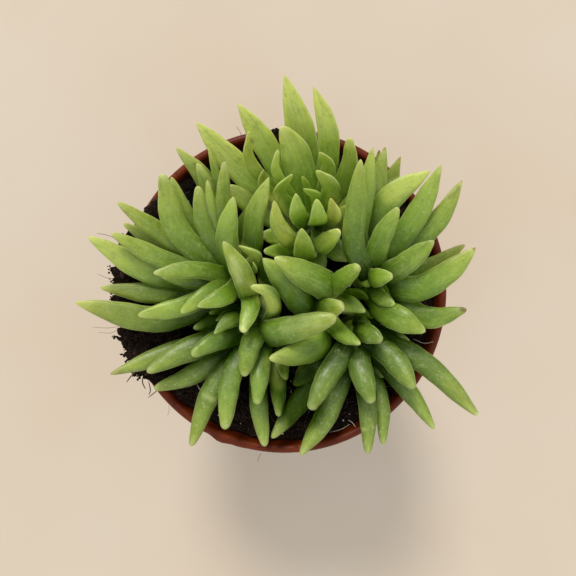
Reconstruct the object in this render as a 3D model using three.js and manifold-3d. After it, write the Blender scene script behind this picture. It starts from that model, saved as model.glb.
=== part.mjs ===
// Potted haworthia: a clump of six leafy rosettes in a thin round nursery pot.
// Millimetres, +Z up, origin at the centre of the pot's base.
import * as THREE from 'three';
import { mergeVertices } from 'three/addons/utils/BufferGeometryUtils.js';
import Module from 'manifold-3d';

const wasm = await Module();
wasm.setup();

// Driving dimensions
const RIM_DIAMETER = 90;
const POT_HEIGHT = 78;
const BASE_DIAMETER = 62;
const BASE_THICKNESS = 1.6;
const WALL = 1.1;
const LIP_WIDTH = 2.4;
const LIP_DEPTH = 7;
const LIP_DRAFT = 0.9;
const LIP_STEP = 1.2;
const LIP_CORNER = 0.3;
const BASE_BEVEL = 1;
const POT_SIDES = 48;
const CLEARANCE = 0.3;

const DRAIN_COUNT = 6;
const DRAIN_RADIUS = 3.2;
const DRAIN_RING = 21;
const DRAIN_SIDES = 16;

// The compost's surface: its level, the crown in the middle, the bank at the wall, and its lumps as two sets
// of waves with their wave numbers per millimetre.
const SOIL_LEVEL = 73;
const SOIL_CROWN = 0.8;
const SOIL_CROWN_WIDTH = 24;
const SOIL_BANK = 2.2;
const BANK_START = 24;
const BANK_RUN = 16;
const SOIL_LUMPS = 0.35;
const BROAD_WAVES = [0.42, 0.37];
const FINE_WAVES = [0.9, -0.7];
const FINE_SHARE = 0.6;
const SOIL_EDGE = 0.2;
const SOIL_RINGS = [39, 33, 26, 19, 12, 5];

// Compost heaped up to the lip, and lying on it, round one side of the pot.
const HEAP_ANGLE = 179;
const HEAP_HALF_ANGLE = 40;
const HEAP_RISE = 4.1;
const HEAP_START = 18;
const HEAP_RUN = 22;

// The heap on the lip: how far it hangs over or stops short of the rim, its height, and how its section
// thins towards both ends over the first and last steps round the pot.
const SPILL_STEPS = 22;
const SPILL_OVERHANG = 1.3;
const SPILL_TAPER = 1.9;
const SPILL_HEIGHT = 2.1;
const SPILL_INWARD = 6;
const SPILL_CREST = 2.6;
const SPILL_SHOULDER = 0.6;
const SPILL_ROOT = 2.6;
const SPILL_DROP = 1.4;
const SPILL_RISE = 0.8;
const SPILL_THIN = 0.35;
const SPILL_EDGE = 0.55;
const SPILL_RAGGED = 0.4;
const SPILL_LUMPS = 0.3;
const SPILL_START = 8;
const SPILL_END = 4;

const STEM_BOTTOM = 60;
const STEM_RADIUS = 4;
const STEM_SIDES = 12;
const STEM_SHOULDER = 78;
const STEM_TOP = 84;
const LOWEST_ROOT = 77.5;
const HIGHEST_ROOT = 83.5;
const ROOT_OFFSET = 1.2;

// Leaf thickness, and width at the root and in the outer part, as shares of the leaf's width.
const LEAF_THICKNESS = 0.5;
const LEAF_BASE_WIDTH = 1.05;
const LEAF_OUTER_WIDTH = 0.9;
const LEVEL_AT = 0.6;

// A pointed leaf narrows over the first of these shares of its length from the tip. A blunt one is a finger
// that is still this wide, as a share, where its rounded end starts.
const TAPER_SHARE = 0.38;
const END_SHARE = 0.035;
const FINGER_END = 0.42;
const BROAD_SHARE = 0.85;

// A leaf's cross-section, flat above and keeled below, and the shares of its length that have one.
const SECTION = [[0.5, -0.95], [-0.5, -0.95], [-1, 0.1], [-0.5, 0.8], [0.5, 0.8], [1, 0.1]];
const RINGS = [0, 0.2, 0.4, 0.58, 0.74, 0.87, 0.955];
const SHORT_RINGS = [0, 0.3, 0.6, 0.83, 0.95];
const SHORT_LEAF = 24;

// Short leaves low on the outer side of each rosette.
const SKIRT_LENGTH = 15;
const SKIRT_WIDTH = 6;
const SKIRT_RISE = 5.5;
const SKIRT_FAN = 2.5;
const SKIRT_JITTER = 0.3;
const SKIRT_START = 0.4;
const SKIRT_LENGTHS = [0.85, 1.1];
const SKIRT_WIDTHS = [0.85, 1.05];
const SKIRT_WAY = [0.6, 1];
const SKIRT_CURVE = 1.5;
const SKIRT_ROOT = 77;
const CLUMP_CENTRE = [5, -1];
const GOLDEN_SHARE = 0.618;
const SEED = 20;

// Stations along a leaf's spine, and how neighbouring leaves are bent apart.
const STATIONS = 12;
const BEND_ROUNDS = 70;
const BEND_GAP = 0.75;
const BEND_SIDEWAYS = 0.45;
const BEND_EASE = 0.15;
const BEND_REACH = 9;
const STIFF_SHARE = 0.3;
const LIP_MARGIN = 3;

// Leaves are placed as they are seen from a point straight above the pot, this high over its lip.
const VIEW_HEIGHT = 150;
const EYE = new THREE.Vector3(0.97, 0.83, POT_HEIGHT + VIEW_HEIGHT);

const UP = new THREE.Vector3(0, 0, 1);
const BASE_RADIUS = BASE_DIAMETER / 2;
const RIM_RADIUS = RIM_DIAMETER / 2;
const LIP_INNER = RIM_RADIUS - LIP_WIDTH;
const SHOULDER = POT_HEIGHT - LIP_DEPTH;

// Each row is one leaf, lowest first: width, bluntness of the tip from 0 to 1, then points on the way
// from the stem to the tip, each as x and y seen at the height of the lip, and its own height.
const HEADS = [
  {
    name: 'rosette_top',
    stem: [8, 17],
    skirt: 5,
    leaves: [
      [6, 0.5, [0, 15, 81], [-6.5, 15.5, 83.5]],
      [6.5, 0.5, [8.5, 8, 82], [9.5, 2.5, 84]],
      [6, 0.5, [14.5, 11, 81.5], [18, 8.5, 83]],
      [8, 0.5, [-7, 23, 82], [-16, 28.8, 85.5]],
      [6, 0.5, [15.5, 22, 82], [20.5, 27, 85]],
      [6, 0.4, [2, 29, 82], [-2.5, 38, 87]],
      [8.2, 0.15, [-12.9, 34.2, 85], [-24.4, 46.6, 95]],
      [8.3, 0.15, [5.8, 38, 85], [0, 59.7, 98]],
      [7.3, 0.2, [-4.4, 38.8, 87], [-12.9, 51.7, 97]],
      [4.0, 0.6, [-8.4, 34, 90], [-9.9, 44.1, 99]],
      [6.3, 0.15, [12, 36, 87], [11.6, 46, 93.5], [7.9, 56.6, 99]],
      [5.2, 0.95, [17.2, 32.5, 87], [18, 42.3, 93]],
      [9, 0.5, [3.3, 37, 90], [-0.8, 45.4, 95]],
      [4.6, 0.4, [12, 33.5, 90], [9.5, 38.4, 94]],
      [3.4, 0.7, [-1.9, 32, 91], [-1.8, 39, 95]],
      [3.6, 0.3, [-5.5, 28.5, 88], [-5.7, 33.6, 91]],
      [4.3, 0.4, [-1.2, 26.5, 90], [2.2, 32.3, 94]],
      [2.6, 0.5, [6.2, 28.5, 89], [4.8, 31.6, 92]],
      [3.6, 0.3, [9, 25.5, 91], [5.1, 28.2, 94]],
      [5.2, 0.5, [12.8, 28, 93], [8.8, 33.3, 98]],
      [4.0, 0.6, [15.2, 20.5, 90], [17.1, 23.5, 93]],
      [4.6, 0.6, [1.5, 11.6, 85.5], [-5.7, 10.9, 91]],
      [5.0, 0.3, [3, 13.5, 89], [-1.6, 17.8, 94], [-2.9, 25, 99]],
      [5.2, 0.2, [3.8, 21, 94], [3.1, 27, 99]],
      [4.6, 0.3, [14, 20.5, 93], [13.1, 25.6, 97]],
      [5.4, 0.7, [9.3, 12.3, 88], [12.3, 14.3, 92], [15.3, 16.8, 96]],
      [5.3, 0.4, [9.3, 20, 96], [8.8, 25.4, 101]],
      [5.8, 0.3, [5.8, 9.3, 89], [4.7, 17.3, 98]],
    ],
  },
  {
    name: 'rosette_left',
    stem: [-12, 3],
    skirt: 5,
    leaves: [
      [6, 0.5, [-11.5, 14, 82], [-9.5, 23.5, 85]],
      [5.8, 0.35, [-32, -0.7, 80.5], [-51, 1, 84]],
      [5.2, 0.5, [-34, 12.7, 81], [-44.5, 18.7, 85.5]],
      [5.2, 0.4, [-25.3, 18, 83], [-31.3, 31.5, 88]],
      [6.1, 0.35, [-20.9, 28.6, 84], [-29.9, 39.6, 91]],
      [7, 0.35, [-34.5, 4.3, 82.5], [-54.3, 15, 89]],
      [7.6, 0.3, [-33, -7.7, 83], [-57.7, -3.2, 89]],
      [6.0, 0.4, [-19.8, 25.5, 85], [-24.1, 35.3, 90]],
      [3.2, 0.3, [-18.3, 30, 87], [-21, 39.7, 93]],
      [6.0, 0.4, [-32.3, 14.8, 84], [-46.1, 24.5, 91]],
      [4.6, 0.3, [-22.5, 2.6, 84], [-34, 3.9, 87]],
      [7.1, 0.8, [-28.6, 15.5, 87], [-33.8, 32.3, 94]],
      [5.6, 0.5, [-31.5, 7.9, 85.5], [-47.8, 15.9, 91]],
      [5.6, 0.5, [-26.5, -4, 87], [-40.4, -6.8, 91]],
      [6.2, 0.6, [-21.3, 18, 88], [-24, 29, 94]],
      [3.8, 0.5, [-19.2, 19.5, 89], [-21.3, 30.6, 95]],
      [4.6, 0.8, [-16.5, 21, 90], [-16.6, 35.6, 97]],
      [3.8, 0.4, [-16.2, 20, 89], [-15.4, 28.4, 93]],
      [4.9, 0.5, [-24, 5.8, 89], [-36.2, 4.9, 93]],
      [4.7, 0.6, [-20.5, -0.3, 89], [-28.6, -6, 92]],
      [5.9, 0.1, [-8.9, 12.5, 88], [-8.2, 20.5, 93], [-4.3, 31.5, 99]],
      [6.3, 0.3, [-15.8, 14, 93], [-14.1, 26, 100]],
      [5.1, 0.3, [-16, -1.1, 91], [-24, -4.3, 95]],
      [5.3, 0.7, [-9.3, -3.5, 91], [-11.6, -11.5, 96]],
      [4.2, 0.4, [-7.5, 9.3, 93], [-12.4, 12.5, 97]],
      [2.4, 0.4, [-8.2, 6, 93], [-8.8, 8.1, 96]],
      [5.9, 0.4, [-9.9, -0.5, 90], [-12.3, 6, 97], [-16.9, 13.7, 101]],
    ],
  },
  {
    name: 'rosette_centre',
    stem: [8, -3],
    skirt: 0,
    leaves: [
      [4.0, 0.5, [20, -1, 84], [23.2, -2.3, 86]],
      [3.8, 0.5, [21, -5, 83], [25.4, -6.8, 85]],
      [5.2, 0.6, [2, -13, 82], [-0.7, -19, 86], [0.4, -24.6, 89]],
      [7.4, 0.4, [10.5, -13.8, 84], [3, -17, 89], [-4.3, -18.2, 93]],
      [4.9, 0.4, [15.5, -11.5, 88], [21, -14.7, 93]],
      [5.2, 0.3, [17.5, -3.5, 88], [22.4, -5.8, 91]],
      [6.2, 0.95, [11.2, -5, 90], [16.4, -4, 95.5]],
      [7.8, 0.15, [5, -3.6, 86], [0.5, 1.5, 92], [-6.4, 8.7, 96]],
      [5.6, 0.9, [15.8, 3.2, 93], [20.5, 7, 101]],
      [8, 0.35, [11.6, 1, 89], [5, 4.8, 96], [-2.8, 9.2, 100]],
    ],
  },
  {
    name: 'rosette_right',
    stem: [23, 3],
    skirt: 5,
    leaves: [
      [6.0, 0.1, [29.2, 29.5, 82], [32.1, 37.2, 85]],
      [2.8, 0.6, [25.3, 32, 83], [26.2, 39, 86]],
      [4.6, 0.4, [40, 7, 82], [49.8, 12.8, 86]],
      [5.6, 0.3, [25.2, 26, 86], [27.8, 39.8, 90]],
      [6.1, 0.15, [41, 18, 85], [49.1, 30.7, 90]],
      [6.2, 0.5, [38, -7.3, 84], [50.2, -5.2, 89]],
      [7.5, 0.15, [26.5, 21, 86], [30.9, 27.1, 88.5], [40.3, 33.2, 92]],
      [6.6, 0.15, [36, 20.3, 87], [43.3, 34.9, 93]],
      [7.3, 0.1, [36, 0.5, 85.5], [45.4, 5.4, 90], [52.8, 12, 92]],
      [6.0, 0.5, [26.6, 14.4, 91], [31.4, 23.1, 96]],
      [6.4, 0.3, [32, 6.7, 89], [41.3, 13.9, 94]],
      [7.2, 0.4, [27, -5.2, 86], [32, -8.1, 90], [38.8, -11.3, 92]],
      [4.2, 0.6, [26.5, -1.8, 87], [30.4, -3.9, 90]],
      [5.2, 0.3, [20.5, 14, 87], [22.3, 27, 92], [24.4, 39.8, 96]],
      [5.2, 0.8, [24.8, 3.6, 88.5], [27.4, 4, 92.5], [29.9, 4.1, 94.5]],
      [6, 0.35, [18.9, 12.5, 89], [19.6, 25, 96], [20.9, 36.4, 101]],
    ],
  },
  {
    name: 'rosette_lower_left',
    stem: [-5, -9],
    skirt: 5,
    leaves: [
      [6.0, 0.7, [-24, -22.3, 80.5], [-36, -27, 83]],
      [5.4, 0.85, [-7.2, -28, 82], [-5.4, -42.9, 84]],
      [4.7, 0.6, [-18.5, -8, 82], [-25.2, -9.8, 84.5]],
      [4.7, 0.75, [-1.9, -25, 83.5], [-1.6, -34.7, 86]],
      [5.8, 0.3, [-30.5, -16.7, 82.5], [-48.2, -23, 87]],
      [5.8, 0.8, [-19.1, -25.8, 83], [-25.8, -42.8, 87]],
      [6.9, 0.6, [-26, -16, 85], [-38, -22.4, 89]],
      [6.0, 0.9, [-14.1, -22, 86], [-16.5, -38.2, 90]],
      [3.8, 0.6, [-16, -4.8, 85], [-20.8, -6.2, 88]],
      [3.2, 0.2, [-15, -6.5, 86], [-19, -8.2, 89]],
      [5.8, 0.8, [-18.5, -13.6, 87], [-25.7, -17.7, 91]],
      [5.2, 0.95, [-6.5, -20.5, 87], [-7.6, -31.3, 91]],
      [5.8, 0.6, [-9.2, -14.5, 89], [-11.2, -23.6, 91]],
      [4.3, 0.2, [-14.3, -7.9, 89], [-19.5, -11.8, 93]],
      [5, 0.5, [-4.4, 0, 85], [-8.3, 8.2, 89]],
      [4.4, 0.8, [-2.6, -4.3, 90], [-3.8, 0.2, 95], [-8.9, 1.7, 98]],
      [7.4, 0.7, [-3.5, -11.8, 88], [3.5, -10.5, 93], [9.5, -8.6, 97], [14.4, -7.4, 98]],
    ],
  },
  {
    name: 'rosette_lower_right',
    stem: [19, -11],
    skirt: 4,
    leaves: [
      [7, 0.5, [10, -18.5, 80.5], [2.5, -26, 83]],
      [6.2, 0.6, [5, -29.5, 81], [-3.5, -40.6, 83]],
      [4.4, 0.4, [15, -27, 81], [12.2, -36, 82]],
      [4.6, 0.7, [26.5, -29.5, 82], [27.2, -42.5, 85.5]],
      [6.5, 0.5, [12.6, -31.8, 83.5], [4.4, -45.3, 86.5]],
      [5.2, 0.5, [34, -27.5, 83.5], [41.4, -38.1, 87.5]],
      [5.5, 0.7, [22.8, -30, 84.5], [23, -45, 89]],
      [6.2, 0.4, [38, -19.5, 85.5], [53.5, -34.4, 90]],
      [3.8, 0.4, [21, -8.5, 86], [23.8, -9, 88]],
      [6.4, 0.85, [21, -21.5, 88], [24.1, -31, 92]],
      [6.6, 0.75, [29.4, -18.2, 88], [35.8, -27, 93]],
      [6.2, 0.95, [12.4, -22, 88], [7, -32.7, 92]],
      [5.4, 0.85, [21.5, -11.3, 88], [24.4, -12.3, 92.5], [27, -13.8, 94.5]],
    ],
  },
];

const PLASTIC = { color: 0x7a3826, roughness: 0.5, metalness: 0 };
const COMPOST = { color: 0x1c1613, roughness: 1, metalness: 0 };
const LEAF = { color: 0x86a04a, roughness: 0.55, metalness: 0 };

function smoothstep(x) {
  const t = Math.min(Math.max(x, 0), 1);
  return t * t * (3 - 2 * t);
}

function mix(a, b, t) {
  return a + (b - a) * t;
}

// Repeatable numbers from 0 to 1.
function makeRandom(seed) {
  let state = seed;
  return () => {
    state = (state * 16807) % 2147483647;
    return state / 2147483647;
  };
}

// Turns a closed geometry into a solid for joining and cutting.
function solidOf(geometry) {
  const bare = geometry.clone();
  for (const name of ['normal', 'uv']) bare.deleteAttribute(name);
  const merged = mergeVertices(bare, 1e-4);
  const vertProperties = new Float32Array(merged.attributes.position.array);
  const triVerts = new Uint32Array(merged.index.array);
  return new wasm.Manifold(new wasm.Mesh({ numProp: 3, vertProperties, triVerts }));
}

// Gives a solid's largest body back as a named mesh, with loose scraps dropped.
function meshOf(name, solid, material) {
  const bodies = solid.decompose();
  const whole = bodies.reduce((most, body) => (body.volume() > most.volume() ? body : most));
  const { vertProperties, triVerts, numProp } = whole.getMesh();
  const position = new Float32Array((vertProperties.length / numProp) * 3);
  for (let i = 0; i < position.length / 3; i += 1) {
    position.set(vertProperties.subarray(i * numProp, i * numProp + 3), i * 3);
  }
  const geometry = new THREE.BufferGeometry();
  geometry.setAttribute('position', new THREE.BufferAttribute(position, 3));
  geometry.setIndex(new THREE.BufferAttribute(new Uint32Array(triVerts), 1));
  geometry.computeVertexNormals();
  const mesh = new THREE.Mesh(geometry, new THREE.MeshStandardMaterial(material));
  mesh.name = name;
  return mesh;
}

// A closed skin through rings of points, with one more point to close each end.
function loft(rings, first, last) {
  const sides = rings[0].length;
  const firstPoint = rings.length * sides;
  const lastPoint = firstPoint + 1;
  const lastRing = firstPoint - sides;
  const index = [];
  for (let j = 0; j < sides; j += 1) {
    const k = (j + 1) % sides;
    index.push(firstPoint, k, j);
    index.push(lastPoint, lastRing + j, lastRing + k);
    for (let a = 0; a < lastRing; a += sides) {
      const b = a + sides;
      index.push(a + j, a + k, b + k, a + j, b + k, b + j);
    }
  }
  const geometry = new THREE.BufferGeometry().setFromPoints([...rings.flat(), first, last]);
  geometry.setIndex(index);
  return geometry;
}

function lathe(profile, sides) {
  const points = profile.map(([radius, z]) => new THREE.Vector2(radius, z));
  return new THREE.LatheGeometry(points, sides).rotateX(Math.PI / 2);
}

function post([x, y], bottom, top, radius, sides) {
  const geometry = new THREE.CylinderGeometry(radius, radius, top - bottom, sides);
  return geometry.rotateX(Math.PI / 2).translate(x, y, (top + bottom) / 2);
}

function around(turn, radius) {
  return [Math.cos(turn) * radius, Math.sin(turn) * radius];
}

// Radius of the wall's inner face at a height.
function innerWall(z) {
  const slope = (LIP_INNER - BASE_RADIUS) / SHOULDER;
  return Math.min(BASE_RADIUS - WALL + z * slope, LIP_INNER);
}

function makePot() {
  const round = LIP_WIDTH / 2;
  const edge = round * LIP_CORNER;
  const profile = [
    [0, 0],
    [BASE_RADIUS - BASE_BEVEL, 0],
    [BASE_RADIUS, BASE_BEVEL],
    [LIP_INNER, SHOULDER - LIP_STEP],
    [RIM_RADIUS - LIP_DRAFT, SHOULDER],
    [RIM_RADIUS, POT_HEIGHT - round],
    [RIM_RADIUS - edge, POT_HEIGHT - edge],
    [RIM_RADIUS - round, POT_HEIGHT],
    [LIP_INNER + edge, POT_HEIGHT - edge],
    [LIP_INNER, POT_HEIGHT - round],
    [innerWall(SHOULDER), SHOULDER - LIP_STEP],
    [innerWall(BASE_THICKNESS), BASE_THICKNESS],
    [0, BASE_THICKNESS],
  ];
  let pot = solidOf(lathe(profile, POT_SIDES));
  for (let i = 0; i < DRAIN_COUNT; i += 1) {
    const place = around(((i + 0.5) / DRAIN_COUNT) * Math.PI * 2, DRAIN_RING);
    pot = pot.subtract(solidOf(post(place, -1, BASE_THICKNESS + 1, DRAIN_RADIUS, DRAIN_SIDES)));
  }
  return pot;
}

// How far the compost is heaped towards the lip at a place, from 0 to 1.
function heap(x, y) {
  const angle = THREE.MathUtils.radToDeg(Math.atan2(y, x));
  const off = Math.abs(((angle - HEAP_ANGLE + 540) % 360) - 180);
  return smoothstep(1.5 - off / HEAP_HALF_ANGLE) * smoothstep((Math.hypot(x, y) - HEAP_START) / HEAP_RUN);
}

// Height of the compost's surface: lumpy, crowned a little, banked at the wall and heaped on one side.
function soilHeight(x, y) {
  const out = Math.hypot(x, y);
  const broad = Math.sin(x * BROAD_WAVES[0] + 1.3) * Math.cos(y * BROAD_WAVES[1] - 0.6);
  const fine = FINE_SHARE * Math.sin(x * FINE_WAVES[0] + y * FINE_WAVES[1]);
  const crown = SOIL_CROWN * Math.exp(-((out / SOIL_CROWN_WIDTH) ** 2));
  const bank = SOIL_BANK * smoothstep((out - BANK_START) / BANK_RUN);
  return SOIL_LEVEL + crown + bank + HEAP_RISE * heap(x, y) + SOIL_LUMPS * (broad + fine);
}

function soilBody() {
  const ring = (radiusAt, heightAt) => Array.from({ length: POT_SIDES }, (_, j) => {
    const turn = (j / POT_SIDES) * Math.PI * 2;
    const [x, y] = around(turn, radiusAt(turn));
    return new THREE.Vector3(x, y, heightAt(x, y));
  });
  const againstWall = (turn) => {
    const height = soilHeight(...around(turn, LIP_INNER - WALL));
    return Math.min(innerWall(height), LIP_INNER - SOIL_EDGE) - CLEARANCE;
  };
  const floor = BASE_THICKNESS + CLEARANCE;
  const shoulder = SHOULDER - LIP_STEP;
  const rings = [
    ring(() => innerWall(floor) - CLEARANCE, () => floor),
    ring(() => innerWall(shoulder) - CLEARANCE, () => shoulder),
    ring(againstWall, soilHeight),
    ...SOIL_RINGS.map((radius) => ring(() => radius, soilHeight)),
  ];
  const first = new THREE.Vector3(0, 0, floor);
  const last = new THREE.Vector3(0, 0, soilHeight(0, 0));
  return solidOf(loft(rings, first, last));
}

// The compost that lies on the lip where it is heaped, thinner and narrower towards both ends.
function soilSpill() {
  const bottom = POT_HEIGHT + CLEARANCE;
  const inner = LIP_INNER - SPILL_INWARD;
  const rings = [];
  for (let i = 0; i <= SPILL_STEPS; i += 1) {
    const turn = THREE.MathUtils.degToRad(HEAP_ANGLE + HEAP_HALF_ANGLE * mix(-1, 1, i / SPILL_STEPS));
    const fade = smoothstep(Math.min(i / SPILL_START, (SPILL_STEPS - i) / SPILL_END));
    const ragged = fade * SPILL_RAGGED * (Math.sin(i * 2.1) + 0.75 * Math.sin(i * 4.7 + 1));
    const outer = RIM_RADIUS + mix(-SPILL_TAPER, SPILL_OVERHANG, fade) + ragged;
    const crest = bottom + SPILL_HEIGHT * mix(SPILL_THIN, 1, fade) + SPILL_LUMPS * Math.sin(i * 3.3);
    const section = [
      [inner, bottom + mix(-SPILL_DROP, SPILL_RISE, fade)],
      [outer - SPILL_CREST, crest],
      [outer - SPILL_SHOULDER, bottom + mix(SPILL_EDGE, 1, fade)],
      [outer, bottom],
      [LIP_INNER + 0.1, bottom],
      [LIP_INNER - SPILL_SHOULDER, bottom - SPILL_DROP],
      [inner, bottom - SPILL_ROOT],
    ];
    rings.push(section.map(([radius, z]) => new THREE.Vector3(...around(turn, radius), z)));
  }
  const middle = (ring) => ring.reduce((sum, p) => sum.add(p), new THREE.Vector3()).divideScalar(ring.length);
  return solidOf(loft(rings, middle(rings[0]), middle(rings[SPILL_STEPS])));
}

function makeSoil() {
  const bottom = STEM_BOTTOM - CLEARANCE;
  const top = POT_HEIGHT + 2 * SPILL_HEIGHT;
  let soil = soilBody().add(soilSpill());
  for (const { stem } of HEADS) {
    soil = soil.subtract(solidOf(post(stem, bottom, top, STEM_RADIUS + 2 * CLEARANCE, STEM_SIDES)));
  }
  return soil;
}

// Moves a place that is seen at the height of the lip up or down the line of sight to its own height.
function lifted([x, y, z]) {
  const pull = (EYE.z - z) / VIEW_HEIGHT;
  return new THREE.Vector3(mix(EYE.x, x, pull), mix(EYE.y, y, pull), z);
}

// Share of a leaf's full width at a share of its length from the tip.
function widthAt(fromTip, blunt) {
  const taper = Math.min(fromTip / TAPER_SHARE, 1);
  const pointed = 1 - (1 - taper) ** 2;
  const end = Math.sqrt(1 - (1 - Math.min(fromTip / END_SHARE, 1)) ** 2);
  const finger = end * mix(FINGER_END, 1, pointed);
  const body = mix(LEAF_OUTER_WIDTH, LEAF_BASE_WIDTH, smoothstep(fromTip / BROAD_SHARE));
  return mix(pointed, finger, blunt) * body;
}

// A leaf of a rosette that runs from its stem through the given points.
function makeLeaf(head, width, blunt, rootHeight, points) {
  const root = new THREE.Vector3(...head.stem, rootHeight);
  const outward = points[0].clone().sub(root).setZ(0).normalize();
  root.addScaledVector(outward, ROOT_OFFSET);
  const curve = new THREE.CatmullRomCurve3([root, ...points], false, 'catmullrom', 0.5);
  const spine = curve.getSpacedPoints(STATIONS - 1);
  const leaf = { head, width, blunt, spine, length: curve.getLength(), rest: spine.map((p) => p.clone()) };
  frameLeaf(leaf);
  return leaf;
}

// The leaves that are placed one by one, with a width as it is seen at the height of the lip.
function listedLeaves(head) {
  const last = head.leaves.length - 1;
  return head.leaves.map(([width, blunt, ...way], i) => {
    const points = way.map(lifted);
    const middle = mix(SKIRT_ROOT, points.at(-1).z, LEVEL_AT);
    const trueWidth = width * (EYE.z - middle) / VIEW_HEIGHT;
    return makeLeaf(head, trueWidth, blunt, mix(LOWEST_ROOT, HIGHEST_ROOT, i / last), points);
  });
}

// Short leaves in a fan round the outer side of the rosette, turned by the golden angle with a little chance.
function skirtLeaves(head) {
  const [x, y] = head.stem;
  const random = makeRandom(SEED + head.leaves.length);
  const outward = Math.atan2(y - CLUMP_CENTRE[1], x - CLUMP_CENTRE[0]);
  return Array.from({ length: head.skirt }, (_, i) => {
    const fan = SKIRT_FAN * (((i * GOLDEN_SHARE) % 1) - SKIRT_START);
    const turn = outward + fan + SKIRT_JITTER * (random() - 0.5);
    const length = SKIRT_LENGTH * mix(...SKIRT_LENGTHS, random());
    const points = SKIRT_WAY.map((share) => {
      const [dx, dy] = around(turn, length * share);
      return new THREE.Vector3(x + dx, y + dy, SKIRT_ROOT + SKIRT_RISE * share ** SKIRT_CURVE);
    });
    return makeLeaf(head, SKIRT_WIDTH * mix(...SKIRT_WIDTHS, random()), 0.5, SKIRT_ROOT, points);
  });
}

// Sets the direction, side and face of the leaf at each station: level across at one, untwisted from there.
function frameLeaf(leaf) {
  const { spine } = leaf;
  const last = STATIONS - 1;
  leaf.along = spine.map((p, i) => {
    const next = spine[Math.min(i + 1, last)];
    return next.clone().sub(spine[Math.max(i - 1, 0)]).normalize();
  });
  const level = Math.round(last * LEVEL_AT);
  leaf.side = [];
  leaf.side[level] = leaf.along[level].clone().cross(UP).normalize();
  const carry = (from, to) => {
    const side = leaf.side[from].clone();
    leaf.side[to] = side.addScaledVector(leaf.along[to], -side.dot(leaf.along[to])).normalize();
  };
  for (let i = level + 1; i <= last; i += 1) carry(i - 1, i);
  for (let i = level - 1; i >= 0; i -= 1) carry(i + 1, i);
  leaf.face = leaf.side.map((side, i) => side.clone().cross(leaf.along[i]));
}

// Half size of a leaf at one station in a direction.
function reachOf(leaf, i, direction) {
  const half = leaf.width * widthAt(1 - i / (STATIONS - 1), leaf.blunt) / 2;
  return Math.hypot(half * direction.dot(leaf.side[i]), half * LEAF_THICKNESS * direction.dot(leaf.face[i]));
}

// How freely a station can move: not at the stem, wholly from a third of the length on.
function freedom(i) {
  return smoothstep(i / (STATIONS * STIFF_SHARE));
}

// Adds the push that would clear two stations of different leaves from each other.
function pushApart(a, i, b, j) {
  const apart = a.spine[i].clone().sub(b.spine[j]);
  const distance = apart.length();
  const total = freedom(i) + freedom(j);
  if (distance > BEND_REACH || total === 0) return;
  apart.divideScalar(distance);
  const lack = reachOf(a, i, apart) + reachOf(b, j, apart) + BEND_GAP - distance;
  if (lack <= 0) return;
  apart.x *= BEND_SIDEWAYS;
  apart.y *= BEND_SIDEWAYS;
  for (const [leaf, station, sign] of [[a, i, 1], [b, j, -1]]) {
    leaf.push[station].addScaledVector(apart, sign * freedom(station) * lack / total);
    leaf.pushes[station] += 1;
  }
}

// Moves a leaf's stations by their pushes, smoothed along the leaf and kept above compost and lip.
function settle(leaf) {
  const shift = leaf.spine.map((p, i) => {
    const moved = p.clone().sub(leaf.rest[i]);
    return moved.addScaledVector(leaf.push[i], 1 / Math.max(leaf.pushes[i], 1));
  });
  for (let i = 1; i < STATIONS; i += 1) {
    const next = shift[Math.min(i + 1, STATIONS - 1)];
    const eased = shift[i].clone().multiplyScalar(1 - 2 * BEND_EASE);
    eased.addScaledVector(shift[i - 1], BEND_EASE).addScaledVector(next, BEND_EASE);
    const place = leaf.spine[i].copy(leaf.rest[i]).add(eased);
    const lip = Math.hypot(place.x, place.y) > LIP_INNER - LIP_MARGIN ? POT_HEIGHT : 0;
    const floor = Math.max(soilHeight(place.x, place.y), lip) + reachOf(leaf, i, UP) + BEND_GAP;
    place.z = Math.max(place.z, floor);
  }
  frameLeaf(leaf);
}

// Bends leaves of neighbouring rosettes clear of each other, and all of them clear of compost and lip.
function bendClear(leaves) {
  for (let round = 0; round < BEND_ROUNDS; round += 1) {
    for (const leaf of leaves) {
      leaf.push = leaf.spine.map(() => new THREE.Vector3());
      leaf.pushes = leaf.spine.map(() => 0);
    }
    leaves.forEach((a, number) => {
      for (const b of leaves.slice(number + 1)) {
        if (a.head === b.head) continue;
        for (let i = 0; i < STATIONS; i += 1) {
          for (let j = 0; j < STATIONS; j += 1) pushApart(a, i, b, j);
        }
      }
    });
    leaves.forEach(settle);
  }
}

// A leaf's closed skin, pointed at the tip.
function leafSolid(leaf) {
  const last = STATIONS - 1;
  const between = (list, t) => {
    const i = Math.min(Math.floor(t * last), last - 1);
    return list[i].clone().lerp(list[i + 1], t * last - i).normalize();
  };
  const curve = new THREE.CatmullRomCurve3(leaf.spine, false, 'catmullrom', 0.5);
  const rings = (leaf.length < SHORT_LEAF ? SHORT_RINGS : RINGS).map((t) => {
    const half = leaf.width * widthAt(1 - t, leaf.blunt) / 2;
    const side = between(leaf.side, t).multiplyScalar(half);
    const face = between(leaf.face, t).multiplyScalar(half * LEAF_THICKNESS);
    const centre = curve.getPoint(t);
    return SECTION.map(([u, v]) => centre.clone().addScaledVector(side, u).addScaledVector(face, v));
  });
  return solidOf(loft(rings, curve.getPoint(0), curve.getPoint(1)));
}

// The short stem that stands in the compost and carries the leaves.
function makeStem([x, y]) {
  const profile = [
    [0, STEM_BOTTOM],
    [STEM_RADIUS, STEM_BOTTOM],
    [STEM_RADIUS, STEM_SHOULDER],
    [STEM_RADIUS / 2, STEM_TOP],
    [0, STEM_TOP],
  ];
  return solidOf(lathe(profile, STEM_SIDES).translate(x, y, 0));
}

const leaves = HEADS.flatMap((head) => [...skirtLeaves(head), ...listedLeaves(head)]);
bendClear(leaves);

function makeHead(head) {
  const own = leaves.filter((leaf) => leaf.head === head);
  return own.reduce((body, leaf) => body.add(leafSolid(leaf)), makeStem(head.stem));
}

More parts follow.
